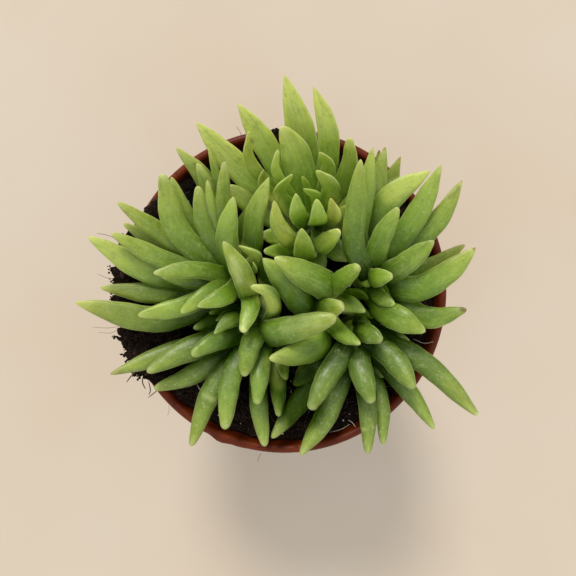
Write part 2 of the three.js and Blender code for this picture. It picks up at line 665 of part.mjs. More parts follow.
const haworthia = new THREE.Group();
haworthia.add(meshOf('pot', makePot(), PLASTIC));
haworthia.add(meshOf('soil', makeSoil(), COMPOST));
for (const head of HEADS) haworthia.add(meshOf(head.name, makeHead(head), LEAF));

export default haworthia;
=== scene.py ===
# Potted haworthia: the fine leaves, compost and pot, their finishes, the light and the camera.
# Blender works in metres. The shapes are worked out in millimetres and scaled by MM.
import math

import bmesh
import bpy
import numpy as np
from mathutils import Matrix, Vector


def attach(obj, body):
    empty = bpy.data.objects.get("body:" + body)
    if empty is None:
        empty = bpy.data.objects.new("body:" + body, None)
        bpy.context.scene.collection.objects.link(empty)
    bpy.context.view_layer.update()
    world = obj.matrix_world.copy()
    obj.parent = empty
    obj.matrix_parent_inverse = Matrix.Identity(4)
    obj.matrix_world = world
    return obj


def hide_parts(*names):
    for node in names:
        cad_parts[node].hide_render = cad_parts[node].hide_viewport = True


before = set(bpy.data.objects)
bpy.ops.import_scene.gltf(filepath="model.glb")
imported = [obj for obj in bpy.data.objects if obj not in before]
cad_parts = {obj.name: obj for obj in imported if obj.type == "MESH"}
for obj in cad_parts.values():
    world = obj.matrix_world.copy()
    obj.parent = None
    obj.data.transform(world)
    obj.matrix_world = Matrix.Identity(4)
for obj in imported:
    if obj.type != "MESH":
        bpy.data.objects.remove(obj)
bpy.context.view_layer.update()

MM = 0.001

# Driving dimensions of the pot and its compost
RIM_RADIUS = 45.0
POT_HEIGHT = 78.0
BASE_RADIUS = 31.0
BASE_THICKNESS = 1.6
WALL = 1.1
LIP_WIDTH = 2.4
LIP_DEPTH = 7.0
LIP_DRAFT = 0.9
LIP_STEP = 1.2
BASE_BEVEL = 1.0
LIP_INNER = RIM_RADIUS - LIP_WIDTH
SHOULDER = POT_HEIGHT - LIP_DEPTH
POT_SIDES = 192
DRAIN_COUNT = 6
DRAIN_RADIUS = 3.2
DRAIN_RING = 21.0
DRAIN_SIDES = 32
CLEARANCE = 0.3

SOIL_LEVEL = 73.0
SOIL_CROWN = 0.8
SOIL_CROWN_WIDTH = 24.0
SOIL_BANK = 2.2
BANK_START = 24.0
BANK_RUN = 16.0
SOIL_LUMPS = 0.35
BROAD_WAVES = (0.42, 0.37)
BROAD_SHIFTS = (1.3, -0.6)
FINE_WAVES = (0.9, -0.7)
FINE_SHARE = 0.6
HEAP_ANGLE = 179.0
HEAP_HALF_ANGLE = 40.0
HEAP_EDGE = 1.5
HEAP_RISE = 4.1
HEAP_START = 18.0
HEAP_RUN = 22.0

# Stems and leaves
STEM_BOTTOM = 60.0
STEM_RADIUS = 4.0
STEM_SHOULDER = 78.0
STEM_TOP = 84.0
STEM_SIDES = 24
LOWEST_ROOT = 77.5
HIGHEST_ROOT = 83.5
ROOT_OFFSET = 1.2
LEAF_THICKNESS = 0.5
LEAF_BASE_WIDTH = 1.05
LEAF_OUTER_WIDTH = 0.9
LEVEL_AT = 0.6
TAPER_SHARE = 0.38
END_SHARE = 0.035
FINGER_END = 0.42
BROAD_SHARE = 0.85
SKIRT_RISE = 5.5
SKIRT_FAN = 2.5
SKIRT_JITTER = 0.3
SKIRT_START = 0.4
SKIRT_LENGTHS = (12.75, 16.5)
SKIRT_WIDTHS = (5.1, 6.3)
SKIRT_WAY = (0.6, 1)
SKIRT_CURVE = 1.5
SKIRT_ROOT = 77.0
CLUMP_CENTRE = (5.0, -1.0)
GOLDEN_SHARE = 0.618
SEED = 20

# Stations along a leaf's spine, and how neighbouring leaves are bent apart
STATIONS = 12
CURVE_STEPS = 201
BEND_ROUNDS = 70
BEND_GAP = 0.75
BEND_SIDEWAYS = 0.45
BEND_EASE = 0.15
BEND_REACH = 9.0
BEND_SEARCH = 25.0
STIFF_SHARE = 0.3
LIP_MARGIN = 3.0

# The camera stands straight above the pot, this high over its lip.
VIEW_HEIGHT = 150.0
EYE = np.array([0.97, 0.83, POT_HEIGHT + VIEW_HEIGHT])
PHOTO_WIDTH = 576
FOCAL_PIXELS = 543.3
SENSOR_MM = 36.0

# Each row is one leaf, lowest first: width, bluntness of the tip from 0 to 1, then points on the way
# from the stem to the tip, each as x and y seen at the height of the lip, and its own height.
HEADS = [
    {"name": "rosette_top", "stem": (8, 17), "skirt": 5, "leaves": [
        (6, 0.5, (0, 15, 81), (-6.5, 15.5, 83.5)),
        (6.5, 0.5, (8.5, 8, 82), (9.5, 2.5, 84)),
        (6, 0.5, (14.5, 11, 81.5), (18, 8.5, 83)),
        (8, 0.5, (-7, 23, 82), (-16, 28.8, 85.5)),
        (6, 0.5, (15.5, 22, 82), (20.5, 27, 85)),
        (6, 0.4, (2, 29, 82), (-2.5, 38, 87)),
        (8.2, 0.15, (-12.9, 34.2, 85), (-24.4, 46.6, 95)),
        (8.3, 0.15, (5.8, 38, 85), (0, 59.7, 98)),
        (7.3, 0.2, (-4.4, 38.8, 87), (-12.9, 51.7, 97)),
        (4, 0.6, (-8.4, 34, 90), (-9.9, 44.1, 99)),
        (6.3, 0.15, (12, 36, 87), (11.6, 46, 93.5), (7.9, 56.6, 99)),
        (5.2, 0.95, (17.2, 32.5, 87), (18, 42.3, 93)),
        (9, 0.5, (3.3, 37, 90), (-0.8, 45.4, 95)),
        (4.6, 0.4, (12, 33.5, 90), (9.5, 38.4, 94)),
        (3.4, 0.7, (-1.9, 32, 91), (-1.8, 39, 95)),
        (3.6, 0.3, (-5.5, 28.5, 88), (-5.7, 33.6, 91)),
        (4.3, 0.4, (-1.2, 26.5, 90), (2.2, 32.3, 94)),
        (2.6, 0.5, (6.2, 28.5, 89), (4.8, 31.6, 92)),
        (3.6, 0.3, (9, 25.5, 91), (5.1, 28.2, 94)),
        (5.2, 0.5, (12.8, 28, 93), (8.8, 33.3, 98)),
        (4, 0.6, (15.2, 20.5, 90), (17.1, 23.5, 93)),
        (4.6, 0.6, (1.5, 11.6, 85.5), (-5.7, 10.9, 91)),
        (5, 0.3, (3, 13.5, 89), (-1.6, 17.8, 94), (-2.9, 25, 99)),
        (5.2, 0.2, (3.8, 21, 94), (3.1, 27, 99)),
        (4.6, 0.3, (14, 20.5, 93), (13.1, 25.6, 97)),
        (5.4, 0.7, (9.3, 12.3, 88), (12.3, 14.3, 92), (15.3, 16.8, 96)),
        (5.3, 0.4, (9.3, 20, 96), (8.8, 25.4, 101)),
        (5.8, 0.3, (5.8, 9.3, 89), (4.7, 17.3, 98)),
    ]},
    {"name": "rosette_left", "stem": (-12, 3), "skirt": 5, "leaves": [
        (6, 0.5, (-11.5, 14, 82), (-9.5, 23.5, 85)),
        (5.8, 0.35, (-32, -0.7, 80.5), (-51, 1, 84)),
        (5.2, 0.5, (-34, 12.7, 81), (-44.5, 18.7, 85.5)),
        (5.2, 0.4, (-25.3, 18, 83), (-31.3, 31.5, 88)),
        (6.1, 0.35, (-20.9, 28.6, 84), (-29.9, 39.6, 91)),
        (7, 0.35, (-34.5, 4.3, 82.5), (-54.3, 15, 89)),
        (7.6, 0.3, (-33, -7.7, 83), (-57.7, -3.2, 89)),
        (6, 0.4, (-19.8, 25.5, 85), (-24.1, 35.3, 90)),
        (3.2, 0.3, (-18.3, 30, 87), (-21, 39.7, 93)),
        (6, 0.4, (-32.3, 14.8, 84), (-46.1, 24.5, 91)),
        (4.6, 0.3, (-22.5, 2.6, 84), (-34, 3.9, 87)),
        (7.1, 0.8, (-28.6, 15.5, 87), (-33.8, 32.3, 94)),
        (5.6, 0.5, (-31.5, 7.9, 85.5), (-47.8, 15.9, 91)),
        (5.6, 0.5, (-26.5, -4, 87), (-40.4, -6.8, 91)),
        (6.2, 0.6, (-21.3, 18, 88), (-24, 29, 94)),
        (3.8, 0.5, (-19.2, 19.5, 89), (-21.3, 30.6, 95)),
        (4.6, 0.8, (-16.5, 21, 90), (-16.6, 35.6, 97)),
        (3.8, 0.4, (-16.2, 20, 89), (-15.4, 28.4, 93)),
        (4.9, 0.5, (-24, 5.8, 89), (-36.2, 4.9, 93)),
        (4.7, 0.6, (-20.5, -0.3, 89), (-28.6, -6, 92)),
        (5.9, 0.1, (-8.9, 12.5, 88), (-8.2, 20.5, 93), (-4.3, 31.5, 99)),
        (6.3, 0.3, (-15.8, 14, 93), (-14.1, 26, 100)),
        (5.1, 0.3, (-16, -1.1, 91), (-24, -4.3, 95)),
        (5.3, 0.7, (-9.3, -3.5, 91), (-11.6, -11.5, 96)),
        (4.2, 0.4, (-7.5, 9.3, 93), (-12.4, 12.5, 97)),
        (2.4, 0.4, (-8.2, 6, 93), (-8.8, 8.1, 96)),
        (5.9, 0.4, (-9.9, -0.5, 90), (-12.3, 6, 97), (-16.9, 13.7, 101)),
    ]},
    {"name": "rosette_centre", "stem": (8, -3), "skirt": 0, "leaves": [
        (4, 0.5, (20, -1, 84), (23.2, -2.3, 86)),
        (3.8, 0.5, (21, -5, 83), (25.4, -6.8, 85)),
        (5.2, 0.6, (2, -13, 82), (-0.7, -19, 86), (0.4, -24.6, 89)),
        (7.4, 0.4, (10.5, -13.8, 84), (3, -17, 89), (-4.3, -18.2, 93)),
        (4.9, 0.4, (15.5, -11.5, 88), (21, -14.7, 93)),
        (5.2, 0.3, (17.5, -3.5, 88), (22.4, -5.8, 91)),
        (6.2, 0.95, (11.2, -5, 90), (16.4, -4, 95.5)),
        (7.8, 0.15, (5, -3.6, 86), (0.5, 1.5, 92), (-6.4, 8.7, 96)),
        (5.6, 0.9, (15.8, 3.2, 93), (20.5, 7, 101)),
        (8, 0.35, (11.6, 1, 89), (5, 4.8, 96), (-2.8, 9.2, 100)),
    ]},
    {"name": "rosette_right", "stem": (23, 3), "skirt": 5, "leaves": [
        (6, 0.1, (29.2, 29.5, 82), (32.1, 37.2, 85)),
        (2.8, 0.6, (25.3, 32, 83), (26.2, 39, 86)),
        (4.6, 0.4, (40, 7, 82), (49.8, 12.8, 86)),
        (5.6, 0.3, (25.2, 26, 86), (27.8, 39.8, 90)),
        (6.1, 0.15, (41, 18, 85), (49.1, 30.7, 90)),
        (6.2, 0.5, (38, -7.3, 84), (50.2, -5.2, 89)),
        (7.5, 0.15, (26.5, 21, 86), (30.9, 27.1, 88.5), (40.3, 33.2, 92)),
        (6.6, 0.15, (36, 20.3, 87), (43.3, 34.9, 93)),
        (7.3, 0.1, (36, 0.5, 85.5), (45.4, 5.4, 90), (52.8, 12, 92)),
        (6, 0.5, (26.6, 14.4, 91), (31.4, 23.1, 96)),
        (6.4, 0.3, (32, 6.7, 89), (41.3, 13.9, 94)),
        (7.2, 0.4, (27, -5.2, 86), (32, -8.1, 90), (38.8, -11.3, 92)),
        (4.2, 0.6, (26.5, -1.8, 87), (30.4, -3.9, 90)),
        (5.2, 0.3, (20.5, 14, 87), (22.3, 27, 92), (24.4, 39.8, 96)),
        (5.2, 0.8, (24.8, 3.6, 88.5), (27.4, 4, 92.5), (29.9, 4.1, 94.5)),
        (6, 0.35, (18.9, 12.5, 89), (19.6, 25, 96), (20.9, 36.4, 101)),
    ]},
    {"name": "rosette_lower_left", "stem": (-5, -9), "skirt": 5, "leaves": [
        (6, 0.7, (-24, -22.3, 80.5), (-36, -27, 83)),
        (5.4, 0.85, (-7.2, -28, 82), (-5.4, -42.9, 84)),
        (4.7, 0.6, (-18.5, -8, 82), (-25.2, -9.8, 84.5)),
        (4.7, 0.75, (-1.9, -25, 83.5), (-1.6, -34.7, 86)),
        (5.8, 0.3, (-30.5, -16.7, 82.5), (-48.2, -23, 87)),
        (5.8, 0.8, (-19.1, -25.8, 83), (-25.8, -42.8, 87)),
        (6.9, 0.6, (-26, -16, 85), (-38, -22.4, 89)),
        (6, 0.9, (-14.1, -22, 86), (-16.5, -38.2, 90)),
        (3.8, 0.6, (-16, -4.8, 85), (-20.8, -6.2, 88)),
        (3.2, 0.2, (-15, -6.5, 86), (-19, -8.2, 89)),
        (5.8, 0.8, (-18.5, -13.6, 87), (-25.7, -17.7, 91)),
        (5.2, 0.95, (-6.5, -20.5, 87), (-7.6, -31.3, 91)),
        (5.8, 0.6, (-9.2, -14.5, 89), (-11.2, -23.6, 91)),
        (4.3, 0.2, (-14.3, -7.9, 89), (-19.5, -11.8, 93)),
        (5, 0.5, (-4.4, 0, 85), (-8.3, 8.2, 89)),
        (4.4, 0.8, (-2.6, -4.3, 90), (-3.8, 0.2, 95), (-8.9, 1.7, 98)),
        (7.4, 0.7, (-3.5, -11.8, 88), (3.5, -10.5, 93), (9.5, -8.6, 97), (14.4, -7.4, 98)),
    ]},
    {"name": "rosette_lower_right", "stem": (19, -11), "skirt": 4, "leaves": [
        (7, 0.5, (10, -18.5, 80.5), (2.5, -26, 83)),
        (6.2, 0.6, (5, -29.5, 81), (-3.5, -40.6, 83)),
        (4.4, 0.4, (15, -27, 81), (12.2, -36, 82)),
        (4.6, 0.7, (26.5, -29.5, 82), (27.2, -42.5, 85.5)),
        (6.5, 0.5, (12.6, -31.8, 83.5), (4.4, -45.3, 86.5)),
        (5.2, 0.5, (34, -27.5, 83.5), (41.4, -38.1, 87.5)),
        (5.5, 0.7, (22.8, -30, 84.5), (23, -45, 89)),
        (6.2, 0.4, (38, -19.5, 85.5), (53.5, -34.4, 90)),
        (3.8, 0.4, (21, -8.5, 86), (23.8, -9, 88)),
        (6.4, 0.85, (21, -21.5, 88), (24.1, -31, 92)),
        (6.6, 0.75, (29.4, -18.2, 88), (35.8, -27, 93)),
        (6.2, 0.95, (12.4, -22, 88), (7, -32.7, 92)),
        (5.4, 0.85, (21.5, -11.3, 88), (24.4, -12.3, 92.5), (27, -13.8, 94.5)),
    ]},
]


def smoothstep(x):
    t = np.clip(x, 0, 1)
    return t * t * (3 - 2 * t)


def mix(a, b, t):
    return a + (b - a) * t


def unit(vectors):
    return vectors / np.linalg.norm(vectors, axis=-1, keepdims=True)


def dots(a, b):
    return np.sum(a * b, axis=-1)


def polar(turn, out, z):
    """Points at angles round the Z axis, at a distance from it and a height."""
    return np.stack(np.broadcast_arrays(np.cos(turn) * out, np.sin(turn) * out, z), -1)


def make_random(seed):
    """Repeatable numbers from 0 to 1."""
    state = seed

    def draw():
        nonlocal state
        state = state * 16807 % 2147483647
        return state / 2147483647

    return draw


# Leaves: their spines

def spans(shares, count):
    """The span between points that each share of the way lies in, and how far along it."""
    last = count - 1
    span = np.minimum((shares * last).astype(int), last - 1)
    return span, (shares * last - span)[:, None]


def curve_through(points, shares):
    """Places on a smooth curve through points, at shares of the way counted in spans."""
    points = np.asarray(points, float)
    padded = np.vstack([2 * points[0] - points[1], points, 2 * points[-1] - points[-2]])
    span, w = spans(shares, len(points))
    before, start, end, after = (padded[span + k] for k in range(4))
    leave = (end - before) / 2
    arrive = (after - start) / 2
    return start + w * (leave + w * (3 * (end - start) - 2 * leave - arrive + w * (
        2 * (start - end) + leave + arrive)))


def spaced(points, count):
    """The same curve at even distances, and its length."""
    shares = np.linspace(0, 1, CURVE_STEPS)
    steps = np.linalg.norm(np.diff(curve_through(points, shares), axis=0), axis=1)
    lengths = np.concatenate([[0], np.cumsum(steps)])
    even = np.interp(np.linspace(0, lengths[-1], count), lengths, shares)
    return curve_through(points, even), lengths[-1]


def width_at(from_tip, blunt):
    """Share of a leaf's full width at a share of its length from the tip."""
    taper = np.minimum(from_tip / TAPER_SHARE, 1)
    pointed = 1 - (1 - taper) ** 2
    end = np.sqrt(1 - (1 - np.minimum(from_tip / END_SHARE, 1)) ** 2)
    finger = end * mix(FINGER_END, 1, pointed)
    body = mix(LEAF_OUTER_WIDTH, LEAF_BASE_WIDTH, smoothstep(from_tip / BROAD_SHARE))
    return mix(pointed, finger, blunt) * body


def lifted(place):
    """Moves a place that is seen at the height of the lip along the line of sight to its own height."""
    x, y, z = place
    pull = (EYE[2] - z) / VIEW_HEIGHT
    return np.array([mix(EYE[0], x, pull), mix(EYE[1], y, pull), z])


def make_leaf(head, width, blunt, root_height, points, age):
    root = np.array([*head["stem"], root_height], float)
    outward = unit((points[0] - root) * (1, 1, 0))
    spine, length = spaced([root + outward * ROOT_OFFSET, *points], STATIONS)
    return {
        "head": head["name"],
        "width": width,
        "blunt": blunt,
        "spine": spine,
        "length": length,
        "age": age,
    }


def skirt_leaves(head):
    """Short leaves in a fan round the outer side of the rosette."""
    x, y = head["stem"]
    random = make_random(SEED + len(head["leaves"]))
    outward = math.atan2(y - CLUMP_CENTRE[1], x - CLUMP_CENTRE[0])
    for i in range(head["skirt"]):
        step = i * GOLDEN_SHARE % 1 - SKIRT_START
        turn = outward + SKIRT_FAN * step + SKIRT_JITTER * (random() - 0.5)
        length = mix(*SKIRT_LENGTHS, random())
        points = []
        for share in SKIRT_WAY:
            rise = SKIRT_RISE * share ** SKIRT_CURVE
            points.append(polar(turn, length * share, SKIRT_ROOT + rise) + (x, y, 0))
        width = mix(*SKIRT_WIDTHS, random())
        yield make_leaf(head, width, 0.5, SKIRT_ROOT, points, 0)


def listed_leaves(head):
    """The leaves of a rosette's rows, true to size at their own height."""
    last = len(head["leaves"]) - 1
    for i, (width, blunt, *way) in enumerate(head["leaves"]):
        points = [lifted(place) for place in way]
        middle = mix(SKIRT_ROOT, points[-1][2], LEVEL_AT)
        true_width = width * (EYE[2] - middle) / VIEW_HEIGHT
        root_height = mix(LOWEST_ROOT, HIGHEST_ROOT, i / last)
        yield make_leaf(head, true_width, blunt, root_height, points, (i + 1) / (last + 1))


def frame_spines(spine):
    """Direction, side and face of each leaf at each station: level across at one, untwisted from there."""
    first = spine[:, :1]
    last = spine[:, -1:]
    along = unit(np.concatenate([spine[:, 1:], last], 1) - np.concatenate([first, spine[:, :-1]], 1))
    level = round((STATIONS - 1) * LEVEL_AT)
    side = np.zeros_like(spine)
    side[:, level] = unit(np.cross(along[:, level], (0, 0, 1)))
    for i in [*range(level + 1, STATIONS), *range(level - 1, -1, -1)]:
        near = side[:, i - 1 if i > level else i + 1]
        side[:, i] = unit(near - dots(near, along[:, i])[:, None] * along[:, i])
    return side, np.cross(side, along)


def heap(x, y):
    """How far the compost is heaped towards the lip at a place, from 0 to 1."""
    off = np.abs((np.degrees(np.arctan2(y, x)) - HEAP_ANGLE + 540) % 360 - 180)
    out = np.hypot(x, y)
    return smoothstep(HEAP_EDGE - off / HEAP_HALF_ANGLE) * smoothstep((out - HEAP_START) / HEAP_RUN)


def soil_height(x, y):
    out = np.hypot(x, y)
    broad = np.sin(x * BROAD_WAVES[0] + BROAD_SHIFTS[0]) * np.cos(y * BROAD_WAVES[1] + BROAD_SHIFTS[1])
    fine = np.sin(x * FINE_WAVES[0] + y * FINE_WAVES[1])
    crown = SOIL_CROWN * np.exp(-((out / SOIL_CROWN_WIDTH) ** 2))
    bank = SOIL_BANK * smoothstep((out - BANK_START) / BANK_RUN)
    return SOIL_LEVEL + crown + bank + HEAP_RISE * heap(x, y) + SOIL_LUMPS * (broad + FINE_SHARE * fine)


def bend_clear(leaves):
    """Bends leaves of neighbouring rosettes clear of each other, and all of them clear of compost and lip."""
    spine = np.array([leaf["spine"] for leaf in leaves])
    rest = spine.copy()
    count = len(leaves)
    stations = np.arange(STATIONS)
    from_tip = 1 - stations / (STATIONS - 1)
    half = np.array([leaf["width"] * width_at(from_tip, leaf["blunt"]) / 2 for leaf in leaves]).ravel()
    free = np.tile(smoothstep(stations / (STATIONS * STIFF_SHARE)), count)
    head = np.repeat([leaf["head"] for leaf in leaves], STATIONS)
    number = np.repeat(np.arange(count), STATIONS)
    flat_rest = rest.reshape(-1, 3)
    a, b = np.nonzero((number[:, None] < number[None, :]) & (head[:, None] != head[None, :]))
    near = np.linalg.norm(flat_rest[a] - flat_rest[b], axis=1) < BEND_SEARCH
    keep = near & (free[a] + free[b] > 0)
    a = a[keep]
    b = b[keep]

    def reach(index, direction, side, face):
        across = half[index] * dots(direction, side[index])
        through = half[index] * LEAF_THICKNESS * dots(direction, face[index])
        return np.hypot(across, through)

    for _ in range(BEND_ROUNDS):
        side, face = frame_spines(spine)
        flat_side = side.reshape(-1, 3)
        flat_face = face.reshape(-1, 3)
        flat = spine.reshape(-1, 3)
        apart = flat[a] - flat[b]
        distance = np.linalg.norm(apart, axis=1)
        close = distance <= BEND_REACH
        apart = apart[close] / distance[close, None]
        i = a[close]
        j = b[close]
        lack = reach(i, apart, flat_side, flat_face) + reach(j, apart, flat_side, flat_face)
        lack += BEND_GAP - distance[close]
        short = lack > 0
        i, j, apart, lack = i[short], j[short], apart[short], lack[short]
        apart = apart * (BEND_SIDEWAYS, BEND_SIDEWAYS, 1)
        total = free[i] + free[j]
        push = np.zeros_like(flat)
        pushes = np.zeros(len(flat))
        for index, sign in ((i, 1), (j, -1)):
            np.add.at(push, index, apart * (sign * free[index] * lack / total)[:, None])
            np.add.at(pushes, index, 1)
        shift = spine - rest + (push / np.maximum(pushes, 1)[:, None]).reshape(spine.shape)
        after = np.concatenate([shift[:, 2:], shift[:, -1:]], 1)
        eased = shift[:, 1:] * (1 - 2 * BEND_EASE) + (shift[:, :-1] + after) * BEND_EASE
        place = rest[:, 1:] + eased
        over_lip = np.hypot(place[..., 0], place[..., 1]) > LIP_INNER - LIP_MARGIN
        ground = np.maximum(soil_height(place[..., 0], place[..., 1]), np.where(over_lip, POT_HEIGHT, 0))
        below = np.hypot(half * flat_side[:, 2], half * LEAF_THICKNESS * flat_face[:, 2])
        below = below.reshape(spine.shape[:2])[:, 1:]
        place[..., 2] = np.maximum(place[..., 2], ground + below + BEND_GAP)
        spine = np.concatenate([rest[:, :1], place], 1)
    side, face = frame_spines(spine)
    for leaf, *ways in zip(leaves, spine, side, face):
        leaf["spine"], leaf["side"], leaf["face"] = ways


leaves = [leaf for head in HEADS for leaf in [*skirt_leaves(head), *listed_leaves(head)]]
bend_clear(leaves)


# Materials

def tone(colour):
    """A colour given as it looks on a screen, 0 to 255, as the shader wants it. A socket stays as it is."""
    if isinstance(colour, bpy.types.NodeSocket):
        return colour
    linear = [((c / 255 + 0.055) / 1.055) ** 2.4 if c > 10 else c / 255 / 12.92 for c in colour]
    return (*linear, 1.0)


class Finish:
    """A material whose colour, roughness and bump are built from nodes, the colour coat by coat."""

    def __init__(self, name):
        self.material = bpy.data.materials.new(name)
        self.material.use_nodes = True
        self.tree = self.material.node_tree
        self.shader = self.tree.nodes["Principled BSDF"]

    def feed(self, socket, value):
        if isinstance(value, bpy.types.NodeSocket):
            self.tree.links.new(value, socket)
        else:
            socket.default_value = value

    def node(self, kind, inputs, **settings):
        made = self.tree.nodes.new(kind)
        for name, value in settings.items():
            setattr(made, name, value)
        for name, value in inputs.items():
            self.feed(made.inputs[name], value)
        return made

    def set(self, **inputs):
        for name, value in inputs.items():
            self.feed(self.shader.inputs[name.replace("_", " ")], value)

    def place(self):
        """The place on the object in millimetres."""
        coordinates = self.node("ShaderNodeTexCoord", {}).outputs["Object"]
        return self.scaled(coordinates, (1 / MM, 1 / MM, 1 / MM))

    def scaled(self, vector, scale):
        inputs = {0: vector, 1: scale}
        return self.node("ShaderNodeVectorMath", inputs, operation="MULTIPLY").outputs[0]

    def attribute(self, name, part=None):
        node = self.node("ShaderNodeAttribute", {}, attribute_name=name)
        if part is None:
            return node.outputs["Vector"]
        return self.node("ShaderNodeSeparateXYZ", {0: node.outputs["Vector"]}).outputs[part]

    def maths(self, operation, a, b=0.0):
        """One sum on one or two values."""
        return self.node("ShaderNodeMath", {0: a, 1: b}, operation=operation).outputs[0]

    def times(self, a, b):
        return self.maths("MULTIPLY", a, b)

    def plus(self, a, b):
        return self.maths("ADD", a, b)

    def step(self, value, low, high, start=0.0, end=1.0):
        """A smooth step from start to end while the value goes from low to high."""
        inputs = {"Value": value, "From Min": low, "From Max": high, "To Min": start, "To Max": end}
        return self.node("ShaderNodeMapRange", inputs, interpolation_type="SMOOTHSTEP").outputs[0]

    def noise(self, vector, scale, detail=3.0, roughness=0.55, distortion=0.0):
        """Soft noise. A scale of three numbers stretches it along the axes."""
        if isinstance(scale, tuple):
            vector = self.scaled(vector, scale)
            scale = 1.0
        inputs = {"Vector": vector, "Scale": scale, "Detail": detail, "Roughness": roughness,
                  "Distortion": distortion}
        return self.node("ShaderNodeTexNoise", inputs).outputs["Fac"]

    def cells(self, vector, scale):
        inputs = {"Vector": vector, "Scale": scale, "Randomness": 1.0}
        return self.node("ShaderNodeTexVoronoi", inputs).outputs["Distance"]

    def blend(self, factor, first, second, how="MIX"):
        node = self.tree.nodes.new("ShaderNodeMix")
        node.data_type = "RGBA"
        node.blend_type = how
        for index, value in ((0, factor), (6, tone(first)), (7, tone(second))):
            self.feed(node.inputs[index], value)
        return node.outputs[2]

    def coat(self, amount, colour):
        """Lays a colour over the one that is there."""
        self.colour = self.blend(amount, self.colour, colour)

    def dab(self, value, low, high, most, colour):
        """Lays a colour on while a value goes from low to high."""
        self.coat(self.step(value, low, high, 0.0, most), colour)

    def ramp(self, factor, stops):
        node = self.tree.nodes.new("ShaderNodeValToRGB")
        self.feed(node.inputs[0], factor)
        points = node.color_ramp.elements
        for _ in range(len(stops) - 2):
            points.new(0.5)
        for point, (position, colour) in zip(points, stops):
            point.position = position
            point.color = tone(colour)
        return node.outputs["Color"]

    def bump(self, height, strength, distance_mm):
        inputs = {"Height": height, "Strength": strength, "Distance": distance_mm * MM}
        self.set(Normal=self.node("ShaderNodeBump", inputs).outputs[0])


# A leaf this long is ripe at its tip. Two leaves' grain lies up to GRAIN_APART from each other.
LONG_LEAF = 46.0
GRAIN_APART = 90.0


